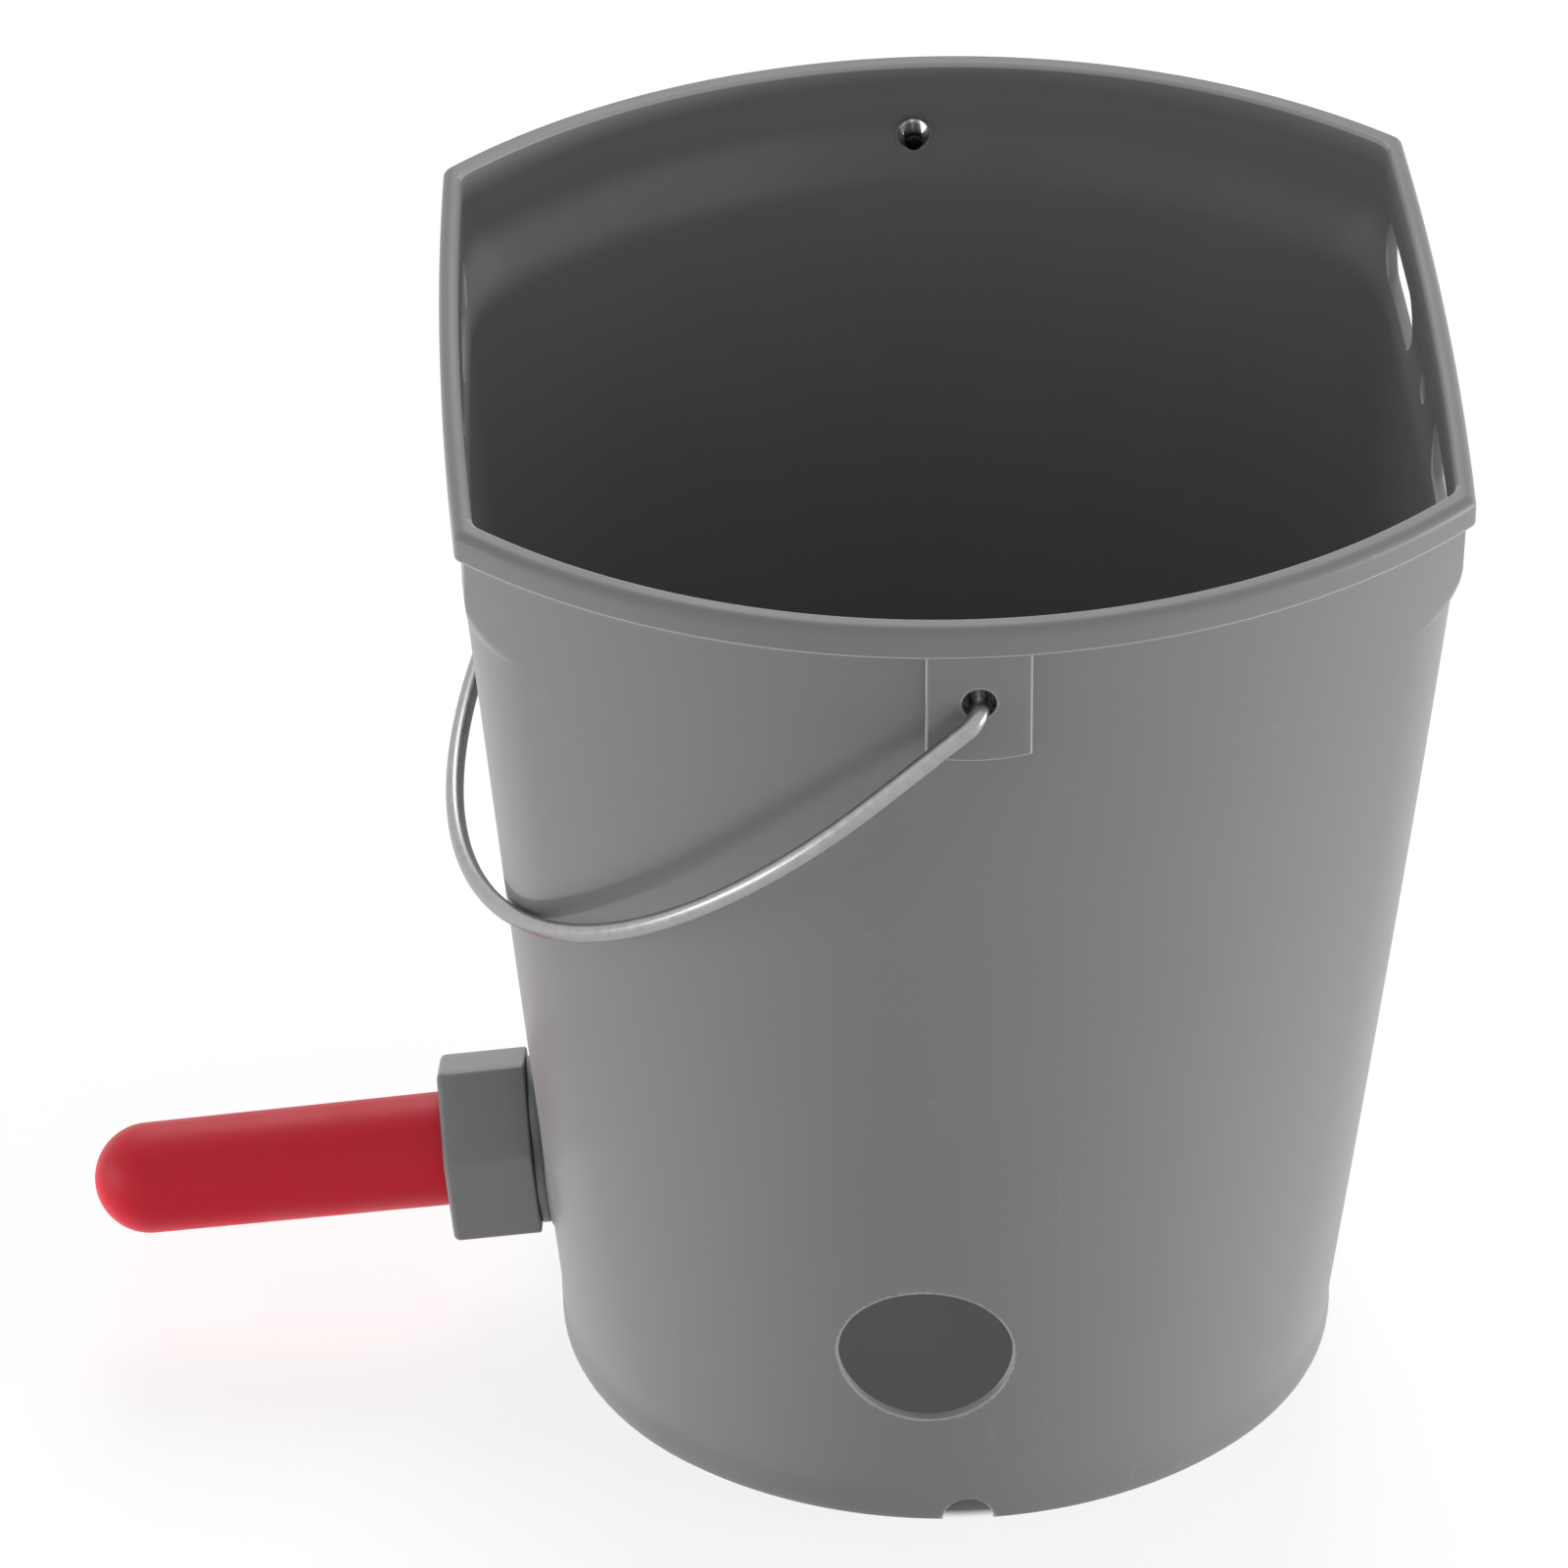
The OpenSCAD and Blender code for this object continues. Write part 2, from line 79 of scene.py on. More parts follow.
def flare(z):
    """Share of the corner flare at a height: it springs from the wall and ends upright."""
    t = min(1.0, max(0.0, (z - SHOULDER_Z) / (COLLAR_Z - SHOULDER_Z)))
    return math.sin(math.pi / 2 * t)


def wall_half(z):
    return (mix(FOOT_HALF[0], RIM_HALF[0] - OVERHANG, min(1.0, z / COLLAR_Z)),
            mix(FOOT_HALF[1], RIM_HALF[1] - OVERHANG, min(1.0, z / RIM_Z)))


def wall_front_r(z):
    opened = min(1.0, max(0.0, z / RIM_Z)) ** FRONT_GROWTH
    return mix(FOOT_FRONT_R, RIM_FRONT_R - OVERHANG, opened)


def wall_corner_r(z):
    below_shoulder = 1.0 - min(1.0, z / SHOULDER_Z)
    low = mix(SHOULDER_CORNER_R, FOOT_CORNER_R, below_shoulder ** 2)
    return mix(low, RIM_CORNER_R - OVERHANG, flare(z))


def plan_outline(half_w, half_d, side_r, front_r, corner_r, steps=(8, 14, 30)):
    """Closed outline of tangent arcs: flat-bowed sides, round corners, round front and back."""
    side_x = half_w - side_r
    front_y = half_d - front_r
    span = math.hypot(side_x, front_y)
    along = ((side_r - corner_r) ** 2 - (front_r - corner_r) ** 2 + span ** 2) / (2 * span)
    off = math.sqrt(max(0.0, (side_r - corner_r) ** 2 - along ** 2))
    corner_x = side_x - along * side_x / span - off * front_y / span
    corner_y = along * front_y / span - off * side_x / span
    low = math.atan2(corner_y, corner_x - side_x)
    high = math.atan2(corner_y - front_y, corner_x)
    arcs = ((side_x, 0.0, side_r, 0.0, low, steps[0]),
            (corner_x, corner_y, corner_r, low, high, steps[1]),
            (0.0, front_y, front_r, high, math.pi / 2, steps[2]))
    quarter = [(half_w, 0.0)]
    for x, y, r, start, end, count in arcs:
        for i in range(1, count + 1):
            a = mix(start, end, i / count)
            quarter.append((x + r * math.cos(a), y + r * math.sin(a)))
    q = np.array(quarter)
    return np.concatenate([q, q[-2::-1] * (-1, 1), q[1:] * (-1, -1), q[-2:0:-1] * (1, -1)])


def wall_outline(z, out, least_r=1.0):
    half_w, half_d = wall_half(z)
    return plan_outline(half_w + out, half_d + out, SIDE_R + out, wall_front_r(z) + out,
                        max(least_r, wall_corner_r(z) + out))


def rim_outline(out_w, out_d, corner_r):
    return plan_outline(RIM_HALF[0] + out_w, RIM_HALF[1] + out_d, SIDE_R + out_w,
                        RIM_FRONT_R + out_d, corner_r)


VALLEY_Z = 20.5
VALLEY_SLOPE = math.radians(16.5)
FLANK_SLOPE = math.radians(21.5)
VALLEY_R = 45.0
FLOOR_T = 3.0
FLOOR_FILLET = 3.0


def floor_z(xy, depth=0.0):
    """Height of the valley floor at a depth below its upper face: it falls to the valve."""
    r = VALLEY_R + depth
    side = np.abs(xy[:, 1])
    turn = r * math.sin(FLANK_SLOPE)
    curved = VALLEY_R - np.sqrt(np.maximum(r * r - np.minimum(side, turn) ** 2, 0.0))
    rise = curved + np.maximum(side - turn, 0.0) * math.tan(FLANK_SLOPE)
    return (VALLEY_Z + (xy[:, 0] + FOOT_HALF[0]) * math.tan(VALLEY_SLOPE)
            + rise / math.cos(VALLEY_SLOPE))


inner_levels = np.array([wall_outline(z, -WALL, INNER_CORNER_R) for z in range(0, 260)])


def inner_wall(heights):
    """Point of each column of the inner wall at that column's own height."""
    low = np.clip(heights.astype(int), 0, len(inner_levels) - 2)
    t = (heights - low)[:, None]
    column = np.arange(len(heights))
    return mix(inner_levels[low, column], inner_levels[low + 1, column], t)


def floor_edge(depth):
    heights = np.full(inner_levels.shape[1], 40.0)
    for _ in range(40):
        heights = mix(heights, floor_z(inner_wall(heights), depth), 0.6)
    return heights


def ring(xy, z):
    return np.column_stack([xy, np.broadcast_to(z, len(xy))])


def drawn_in(xy, by):
    return xy * (1 - by / np.linalg.norm(xy, axis=1))[:, None]


def shell_skin():
    """Rings of the whole moulding, from the middle of the floor's lower face, down the
    skirt, up the outside, over the rim and down to the middle of the floor's upper face."""
    under = floor_edge(FLOOR_T)
    upper = floor_edge(0.0)
    rings = []
    edge = drawn_in(inner_wall(under), FLOOR_FILLET / 2)
    for share in np.linspace(0.06, 1.0, 14):
        rings.append(ring(edge * share, floor_z(edge * share, FLOOR_T)))
    start = under - FLOOR_FILLET / 2
    for share in np.linspace(0.0, 1.0, 12):
        heights = mix(start, 0.6, share)
        rings.append(ring(inner_wall(heights), heights))
    rings.append(ring(wall_outline(0, 0.5 - WALL), 0.0))
    for z, share in ((0.0, 0.3), (0.2, 0.8), (0.6, 1.0), (1.6, 1.0), (3.0, 0.9), (4.4, 0.68),
                     (5.8, 0.44), (7.2, 0.24), (8.6, 0.1), (FOOT_FADE, 0.02)):
        rings.append(ring(wall_outline(z, share * FOOT_LIP), z))
    near_shoulder = [SHOULDER_Z - 0.8, SHOULDER_Z - 0.3, SHOULDER_Z, SHOULDER_Z + 0.3]
    climb = [mix(SHOULDER_Z, COLLAR_Z, t) for t in (0.06, 0.14, 0.24, 0.36, 0.5, 0.66, 0.83, 1)]
    for z in [*np.linspace(FOOT_FADE + 2, SHOULDER_Z - 3, 46), *near_shoulder, *climb,
              250, 254, 258, 260.3]:
        rings.append(ring(wall_outline(z, 0), z))
    for z, out in ((260.8, -1.85), (261.0, -1.4), (261.0, -0.45), (261.12, -0.13),
                   (261.45, 0.0), (261.7, 0.0), (263.5, 0.0)):
        rings.append(ring(rim_outline(out, out, RIM_CORNER_R), z))
    for a in np.radians(np.linspace(0, 90, 10)):
        out = -RIM_ROUND * (1 - math.cos(a))
        rings.append(ring(rim_outline(out, out, RIM_CORNER_R),
                          HEIGHT - RIM_DROP * (1 - math.sin(a))))
    for a in np.radians(np.linspace(90, 0, 7)):
        out = RIM_EDGE * (1 - math.cos(a))
        rings.append(ring(rim_outline(out - RIM_SIDE_W, out - RIM_FRONT_W, INNER_CORNER_R),
                          HEIGHT - RIM_EDGE * (1 - math.sin(a))))
    for z in (264.0, 261.6, LIP_Z):
        rings.append(ring(rim_outline(-RIM_SIDE_W, -RIM_FRONT_W, INNER_CORNER_R), z))
    for z in (259.5, 257, 255, 251, 247, 243, 239, 235, 231, 228):
        side = mix(WALL, SLOT_WALL, min(1.0, (259.5 - z) / 4.5, (z - 228) / 7))
        front = mix(WALL, LIP_WALL, ((z - 228) / (LIP_Z - 228)) ** 1.5)
        opened = 0.5 - 0.5 * math.cos(math.pi * max(0.0, z - SHOULDER_Z) / (LIP_Z - SHOULDER_Z))
        corner_r = mix(wall_corner_r(min(z, SHOULDER_Z)) - front, INNER_CORNER_R, opened)
        half_w, half_d = wall_half(z)
        rings.append(ring(plan_outline(half_w - side, half_d - front, SIDE_R - side,
                                       wall_front_r(z) - front, corner_r), z))
    for share in np.linspace(0.03, 1.0, 36):
        heights = mix(227.0, upper + FLOOR_FILLET, share)
        rings.append(ring(inner_wall(heights), heights))
    for a in np.radians((30, 60)):
        down = FLOOR_FILLET * (1 - math.sin(a))
        xy = drawn_in(inner_wall(upper + down), FLOOR_FILLET * (1 - math.cos(a)))
        rings.append(ring(xy, floor_z(xy) + down))
    edge = drawn_in(inner_wall(upper), FLOOR_FILLET)
    for share in np.linspace(1.0, 0.05, 20):
        rings.append(ring(edge * share, floor_z(edge * share)))
    return rings


def skin_over(bm, rings, closed=False):
    """Quads from ring to ring; the end rings close to their middles unless it is a tube."""
    rows = [[bm.verts.new(p) for p in np.asarray(r, float) * MM] for r in rings]
    count = len(rows[0])
    pairs = list(zip(rows[:-1], rows[1:])) + ([(rows[-1], rows[0])] if closed else [])
    for low, high in pairs:
        for i in range(count):
            j = (i + 1) % count
            bm.faces.new((low[i], low[j], high[j], high[i]))
    if not closed:
        for row in (rows[0], rows[-1]):
            middle = bm.verts.new(sum((v.co for v in row), Vector()) / count)
            for i in range(count):
                bm.faces.new((middle, row[i], row[(i + 1) % count]))


def new_piece(name, bm):
    bmesh.ops.recalc_face_normals(bm, faces=bm.faces)
    mesh = bpy.data.meshes.new(name)
    bm.to_mesh(mesh)
    bm.free()
    piece = bpy.data.objects.new(name, mesh)
    bpy.context.scene.collection.objects.link(piece)
    return piece


def evaluated(piece):
    graph = bpy.context.evaluated_depsgraph_get()
    return bpy.data.meshes.new_from_object(piece.evaluated_get(graph))


def combine(piece, tool_bm, operation):
    """Fuses the tool's solids to the piece, or cuts them out of it."""
    tool = new_piece("tool", tool_bm)
    modifier = piece.modifiers.new("combine", "BOOLEAN")
    modifier.operation = operation
    modifier.object = tool
    modifier.solver = "EXACT"
    mesh = evaluated(piece)
    piece.modifiers.clear()
    piece.data = mesh
    bpy.data.objects.remove(tool)


def shade(piece, degrees=30):
    piece.data.shade_smooth()
    piece.data.set_sharp_from_angle(angle=math.radians(degrees))


def mark_edges(piece, drilled, degrees=13, widest=1.5e-6, clear=2.0):
    """Marks the narrow faces of the rounded outer edges for a painted highlight, where the
    edges catch the light, but not round the drilled holes, each at [x, z, radius]."""
    bm = bmesh.new()
    bm.from_mesh(piece.data)
    highlit_edge = bm.verts.layers.float.new("edge_highlight")
    for edge in bm.edges:
        if edge.calc_face_angle_signed(0.0) > math.radians(degrees):
            for vert in edge.verts:
                x, _, z = vert.co / MM
                away = min(math.hypot(x - hole[0], z - hole[1]) - hole[2] for hole in drilled)
                narrow = max(f.calc_area() for f in vert.link_faces) < widest
                vert[highlit_edge] = float(narrow and away > clear)
    bm.to_mesh(piece.data)
    bm.free()


EAR_W = 23.0
EAR_H = 27.0
EAR_SINK = 0.3
EAR_EDGE_R = 60.0
EAR_HOLE_R = 3.65
EAR_HOLE_Z = 249.0


def ear_face(x):
    centre = RIM_HALF[1] - RIM_FRONT_R
    return centre + np.sqrt((RIM_FRONT_R - EAR_SINK) ** 2 - x ** 2)


def front_wall(x, z, inset=0.0):
    """Y of the round side's outer face, or of a face inset from it."""
    r = wall_front_r(z)
    return wall_half(z)[1] - r + math.sqrt((r - inset) ** 2 - x * x)


def ear_pad(bm, way):
    """Pad under the rim with a bowed lower edge and softly rounded face edges."""
    xs = np.linspace(-EAR_W / 2, EAR_W / 2, 25)
    low = RIM_Z - EAR_H + EAR_EDGE_R - np.sqrt(EAR_EDGE_R ** 2 - xs ** 2)
    top = RIM_Z + 2.0
    rise = np.linspace(0, 1, 14)[1:-1]
    border = np.concatenate([np.column_stack([xs, low]),
                             np.column_stack([np.full(12, xs[-1]), mix(low[-1], top, rise)]),
                             np.column_stack([xs[::-1], np.full(25, top)]),
                             np.column_stack([np.full(12, xs[0]), mix(top, low[0], rise)])])
    middle = np.array([0.0, EAR_HOLE_Z])
    reach = np.array([EAR_W / 2, EAR_H / 2])
    rings = []
    for inset, sink in ((0.0, None), (0.0, 0.6), (0.05, 0.36), (0.18, 0.17), (0.36, 0.05),
                        (0.6, 0.0), (3.0, 0.0), (6.0, 0.0), (9.0, 0.0)):
        flat = middle + (border - middle) * (1 - inset / reach)
        if sink is None:
            y = np.array([front_wall(x, min(z, RIM_Z), 1.4) for x, z in flat])
        else:
            y = ear_face(flat[:, 0]) - sink
        rings.append(np.column_stack([flat[:, 0], way * y, flat[:, 1]]))
    skin_over(bm, rings)


VALVE_Z = 43.0
VALVE_TILT = math.atan((RIM_HALF[0] - OVERHANG - FOOT_HALF[0]) / COLLAR_Z)
BOSS_R = 21.0
BOSS_H = 0.6
SPOT_DEPTH = 0.4
VALVE_HOLE_R = 12.3
SPOT_R = 18.0
valve_place = (Matrix.Translation((-wall_half(VALVE_Z)[0] * MM, 0, VALVE_Z * MM))
               @ Matrix.Rotation(-math.pi / 2 - VALVE_TILT, 4, "Y"))


def skin_at_valve(bm, rings, closed):
    """Skin over rings given in the valve's own frame, put in its place in the wall."""
    start = len(bm.verts)
    skin_over(bm, rings, closed)
    bm.verts.ensure_lookup_table()
    bmesh.ops.transform(bm, matrix=valve_place, verts=bm.verts[start:])


def revolved(bm, profile, sides=96, closed=False):
    """Turned form in the valve's frame: +Z out of the bucket, rings at [z, radius]."""
    turn = np.linspace(0, 2 * math.pi, sides, endpoint=False)
    skin_at_valve(bm, [np.column_stack([r * np.cos(turn), r * np.sin(turn),
                                        np.full(sides, z)]) for z, r in profile], closed)


HOLE_EDGE = 0.45
SLOT_Z = 248.0
SLOT_LEN = 42.0
SLOT_W = 14.0
SLOT_PITCH = 85.0
PEG_R = 3.9
GRIP_R = 20.0
GRIP_X = -10.0
GRIP_Z = 52.0
NOTCH_R = 5.9


def slot_border(centre, length, width, grow):
    """Rounded slot, long along the first axis; a round hole where the length is the width."""
    half = (length - width) / 2
    end = np.arange(-86.25, 90, 7.5)
    turn = np.radians(np.concatenate([end, end + 180]))
    shift = np.repeat([half, -half], len(end))
    r = width / 2 + grow
    return np.column_stack([centre[0] + shift + r * np.cos(turn), centre[1] + r * np.sin(turn)])


def drill(bm, border_at, outer, inner, place, edge=HOLE_EDGE):
    """Hole tool that follows both faces of a wall and rounds their edges."""
    rounding = ((-2.5, 4.9), (0.0, 0.75), (0.3, 0.29), (0.6, 0.08), (1.0, 0.0))
    widest = rounding[0][1] * edge
    clear_of_bow = 4.0
    rings = [[place(u, v, outer(u, v) + clear_of_bow) for u, v in border_at(widest)]]
    for depth, grow in rounding:
        border = border_at(grow * edge)
        rings.append([place(u, v, outer(u, v) - depth * edge) for u, v in border])
    for depth, grow in reversed(rounding):
        border = border_at(grow * edge)
        rings.append([place(u, v, inner(u, v) + depth * edge) for u, v in border])
    skin_over(bm, rings)


def side_wall(y, z, inset=0.0):
    """X of a flat side's outer face, or of a face inset from it."""
    return wall_half(z)[0] - SIDE_R + math.sqrt((SIDE_R - inset) ** 2 - y * y)


def shell_holes(bm):
    for way in (-1, 1):
        holes = [(y * SLOT_PITCH / 2, SLOT_LEN, SLOT_W) for y in (-1, 1)]
        holes.append((0.0, 2 * PEG_R, 2 * PEG_R))
        for y, length, width in holes:
            drill(bm, lambda g, y=y, n=length, w=width: slot_border((y, SLOT_Z), n, w, g),
                  side_wall, lambda y, z: side_wall(y, z, SLOT_WALL),
                  lambda u, v, x, way=way: (way * x, u, v))
        drill(bm, lambda g: slot_border((0.0, EAR_HOLE_Z), 2 * EAR_HOLE_R, 2 * EAR_HOLE_R, g),
              lambda x, z: float(ear_face(x)), lambda x, z: front_wall(x, z, WALL),
              lambda u, v, y, way=way: (u, way * y, v))
        drill(bm, lambda g: slot_border((0.0, 0.0), 2 * NOTCH_R, 2 * NOTCH_R, g),
              lambda x, z: front_wall(x, 0) + FOOT_LIP, lambda x, z: front_wall(x, 0, WALL),
              lambda u, v, y, way=way: (u, way * y, v))
    drill(bm, lambda g: slot_border((GRIP_X, GRIP_Z), 2 * GRIP_R, 2 * GRIP_R, g),
          front_wall, lambda x, z: front_wall(x, z, WALL),
          lambda u, v, y: (u, -y, v), 0.3)
    seat = SPOT_DEPTH - WALL
    revolved(bm, ((6, VALVE_HOLE_R), (seat, VALVE_HOLE_R), (seat, SPOT_R), (-9, SPOT_R)))


bm = bmesh.new()
skin_over(bm, shell_skin())
bucket = new_piece("bucket_shell", bm)
bm = bmesh.new()
for way in (-1, 1):
    ear_pad(bm, way)
revolved(bm, ((-3.1, BOSS_R), (0.3, BOSS_R), (0.52, BOSS_R - 0.1), (BOSS_H, BOSS_R - 0.35)))
combine(bucket, bm, "UNION")
bm = bmesh.new()
shell_holes(bm)
combine(bucket, bm, "DIFFERENCE")
mark_edges(bucket, ((GRIP_X, GRIP_Z, GRIP_R), (0.0, EAR_HOLE_Z, EAR_HOLE_R)))
shade(bucket)


def effect(name, inputs, outputs):
    """Empty shader group with named inputs and outputs."""
    group = bpy.data.node_groups.new(name, "ShaderNodeTree")
    for label, kind, value in inputs:
        socket = group.interface.new_socket(label, in_out="INPUT", socket_type=kind)
        if value is not None:
            socket.default_value = value
    for label, kind in outputs:
        group.interface.new_socket(label, in_out="OUTPUT", socket_type=kind)
    return group, group.nodes.new("NodeGroupInput"), group.nodes.new("NodeGroupOutput")


def wired(tree, kind, sources=(), **settings):
    """New node with its settings, and its inputs linked or set by name or number."""
    node = tree.nodes.new(kind)
    for key, value in settings.items():
        setattr(node, key, value)
    for key, source in dict(sources).items():
        if isinstance(source, bpy.types.NodeSocket):
            tree.links.new(source, node.inputs[key])
        else:
            node.inputs[key].default_value = source
    return node


def ranged(tree, value, low, high, to_low, to_high):
    return wired(tree, "ShaderNodeMapRange", {"Value": value, "From Min": low, "From Max": high,
                                              "To Min": to_low, "To Max": to_high}).outputs[0]


def maths(tree, operation, a, b):
    return wired(tree, "ShaderNodeMath", {0: a, 1: b}, operation=operation).outputs[0]


# Moulding grain: the fine spark-eroded skin of the tool, and slow drifts of the colour.
grain_group, inlet, outlet = effect(
    "moulding_grain",
    (("Place", "NodeSocketVector", None), ("Grain size", "NodeSocketFloat", 0.0006),
     ("Drift", "NodeSocketFloat", 0.05)),
    (("Height", "NodeSocketFloat"), ("Shade", "NodeSocketFloat"), ("Soil", "NodeSocketFloat")))
fine = wired(grain_group, "ShaderNodeTexNoise",
             {"Vector": inlet.outputs["Place"],
              "Scale": maths(grain_group, "DIVIDE", 1.0, inlet.outputs["Grain size"]),
              "Detail": 2.0})
slow = wired(grain_group, "ShaderNodeTexNoise",
             {"Vector": inlet.outputs["Place"], "Scale": 22.0, "Detail": 3.0,
              "Roughness": 0.55})
spread = maths(grain_group, "SUBTRACT", slow.outputs["Fac"], 0.5)
drift = maths(grain_group, "MULTIPLY", spread, inlet.outputs["Drift"])
grain_group.links.new(fine.outputs["Fac"], outlet.inputs["Height"])
grain_group.links.new(maths(grain_group, "ADD", drift, 1.0), outlet.inputs["Shade"])
grain_group.links.new(slow.outputs["Fac"], outlet.inputs["Soil"])

# Handling scratches: short fine lines in two directions, thin enough to catch the light.
scratch_group, inlet, outlet = effect(
    "handling_scratches",
    (("Place", "NodeSocketVector", None), ("Amount", "NodeSocketFloat", 0.5)),
    (("Mask", "NodeSocketFloat"),))
masks = []
for turn, stretch in (((0.4, 0.9, 0.3), (260.0, 16.0, 90.0)),
                      ((1.1, 0.2, 1.9), (40.0, 300.0, 24.0))):
    mapped = wired(scratch_group, "ShaderNodeMapping",
                   {"Vector": inlet.outputs["Place"], "Rotation": turn, "Scale": stretch})
    lines = wired(scratch_group, "ShaderNodeTexNoise",
                  {"Vector": mapped.outputs[0], "Scale": 1.0, "Detail": 1.0,
                   "Distortion": 0.3})
    away = maths(scratch_group, "ABSOLUTE",
                 maths(scratch_group, "SUBTRACT", lines.outputs["Fac"], 0.5), 0.0)
    masks.append(ranged(scratch_group, away, 0.0, 0.006, 1.0, 0.0))
patches = wired(scratch_group, "ShaderNodeTexNoise",
                {"Vector": inlet.outputs["Place"], "Scale": 30.0, "Detail": 2.0})
kept = ranged(scratch_group, patches.outputs["Fac"], 0.5, 0.68, 0.0, 1.0)
both = maths(scratch_group, "MAXIMUM", masks[0], masks[1])
scratch_group.links.new(
    maths(scratch_group, "MULTIPLY", maths(scratch_group, "MULTIPLY", both, kept),
          inlet.outputs["Amount"]), outlet.inputs["Mask"])


def blended(tree, factor, low, high, way="MIX"):
    """Colour from low to high, each a plain (red, green, blue) or another node's output."""
    ends = [(*end, 1.0) if isinstance(end, tuple) else end for end in (low, high)]
    return wired(tree, "ShaderNodeMix", {"Factor": factor, 6: ends[0], 7: ends[1]},
                 data_type="RGBA", blend_type=way).outputs[2]


def new_material(name):
    material = bpy.data.materials.new(name)
    material.use_nodes = True
    tree = material.node_tree
    return material, tree, tree.nodes["Principled BSDF"]


def moulded_plastic(name, colour, roughness, grain_size, grain_depth, drift, scratched):
    """Moulded polypropylene: fine grain, slow colour drift, light scratches, and a painted
    highlight on the marked edges.
    """
    material, tree, skin = new_material(name)
    place = wired(tree, "ShaderNodeTexCoord").outputs["Object"]
    grain = wired(tree, "ShaderNodeGroup", node_tree=grain_group)
    scratch = wired(tree, "ShaderNodeGroup", node_tree=scratch_group)
    for group in (grain, scratch):
        tree.links.new(place, group.inputs["Place"])
    grain.inputs["Grain size"].default_value = grain_size
    grain.inputs["Drift"].default_value = drift
    scratch.inputs["Amount"].default_value = scratched
    shaded = blended(tree, 1.0, colour, grain.outputs["Shade"], "MULTIPLY")
    pale = tuple(min(1.0, 1.6 * c + 0.02) for c in colour)
    marked = blended(tree, scratch.outputs["Mask"], shaded, pale)
    # Painted highlight: the marked edges are lightened to the pale tone where they catch the
    # light.
    highlit_edge = wired(tree, "ShaderNodeAttribute", attribute_name="edge_highlight").outputs["Fac"]
    tree.links.new(blended(tree, highlit_edge, marked, pale), skin.inputs["Base Color"])
    tree.links.new(ranged(tree, grain.outputs["Soil"], 0.3, 0.7, roughness - 0.04,
                          roughness + 0.05), skin.inputs["Roughness"])
    bump = wired(tree, "ShaderNodeBump", {"Height": grain.outputs["Height"], "Strength": 0.6,
                                          "Distance": grain_depth})
    tree.links.new(bump.outputs[0], skin.inputs["Normal"])
    return material


# Painted hole ring: a ragged ring round a hole, painted as a highlight on its edge or as shade
# inside it.
hole_ring_group, inlet, outlet = effect(
    "painted_hole_ring",
    (("Place", "NodeSocketVector", None), ("Centre", "NodeSocketVector", None),
     ("Radius", "NodeSocketFloat", 0.01), ("Width", "NodeSocketFloat", 0.0005),
     ("Reach", "NodeSocketFloat", 0.03)),
    (("Mask", "NodeSocketFloat"),))
offset = wired(hole_ring_group, "ShaderNodeVectorMath",
               {0: inlet.outputs["Place"], 1: inlet.outputs["Centre"]},
               operation="SUBTRACT").outputs[0]
flat = wired(hole_ring_group, "ShaderNodeVectorMath", {0: offset, 1: (1.0, 0.0, 1.0)},
             operation="MULTIPLY").outputs[0]
along = wired(hole_ring_group, "ShaderNodeSeparateXYZ", {"Vector": offset}).outputs[1]
near = maths(hole_ring_group, "LESS_THAN", maths(hole_ring_group, "ABSOLUTE", along, 0.0),
             inlet.outputs["Reach"])
reach = wired(hole_ring_group, "ShaderNodeVectorMath", {0: flat}, operation="LENGTH")
from_edge = maths(hole_ring_group, "ABSOLUTE",
                  maths(hole_ring_group, "SUBTRACT", reach.outputs["Value"],
                        inlet.outputs["Radius"]), 0.0)
ring_noise = wired(hole_ring_group, "ShaderNodeTexNoise", {"Vector": inlet.outputs["Place"],
                                                   "Scale": 900.0, "Detail": 1.0})
ragged = maths(hole_ring_group, "MULTIPLY", inlet.outputs["Width"],
               ranged(hole_ring_group, ring_noise.outputs["Fac"], 0.3, 0.7, 0.6, 1.4))
on_ring = ranged(hole_ring_group, maths(hole_ring_group, "DIVIDE", from_edge, ragged), 0.8, 1.2,
                 1.0, 0.0)
hole_ring_group.links.new(maths(hole_ring_group, "MULTIPLY", on_ring, near), outlet.inputs["Mask"])


def mark_holes(material, holes):
    """Paints rings over the plastic's colour: pale rings as painted highlights on hole edges,
    dark rings as painted shade inside holes. A hole is its centre, the ring's radius and
    width, how far it reaches along the drill, and the ring's share and tone."""
    tree = material.node_tree
    skin = tree.nodes["Principled BSDF"]
    place = wired(tree, "ShaderNodeTexCoord").outputs["Object"]
    colour = skin.inputs["Base Color"].links[0].from_socket
    for centre, radius, width, reach, share, tone in holes:
        hole_ring = wired(tree, "ShaderNodeGroup", node_tree=hole_ring_group)
        tree.links.new(place, hole_ring.inputs["Place"])
        hole_ring.inputs["Centre"].default_value = Vector(centre) * MM
        hole_ring.inputs["Radius"].default_value = radius * MM
        hole_ring.inputs["Width"].default_value = width * MM
        hole_ring.inputs["Reach"].default_value = reach * MM
        shown = maths(tree, "MULTIPLY", hole_ring.outputs["Mask"], share)
        colour = blended(tree, shown, colour, tone)
    tree.links.new(colour, skin.inputs["Base Color"])


bucket_plastic = moulded_plastic("bucket_plastic", (0.208, 0.211, 0.216), 0.45, 0.0007,
                                 0.00006, 0.10, 0.15)
# Pale tones: painted highlights on the grip and ear hole edges.
HOLE_HIGHLIGHT_TONE = (0.42, 0.42, 0.43)
EAR_HOLE_HIGHLIGHT_TONE = (0.40, 0.40, 0.40)
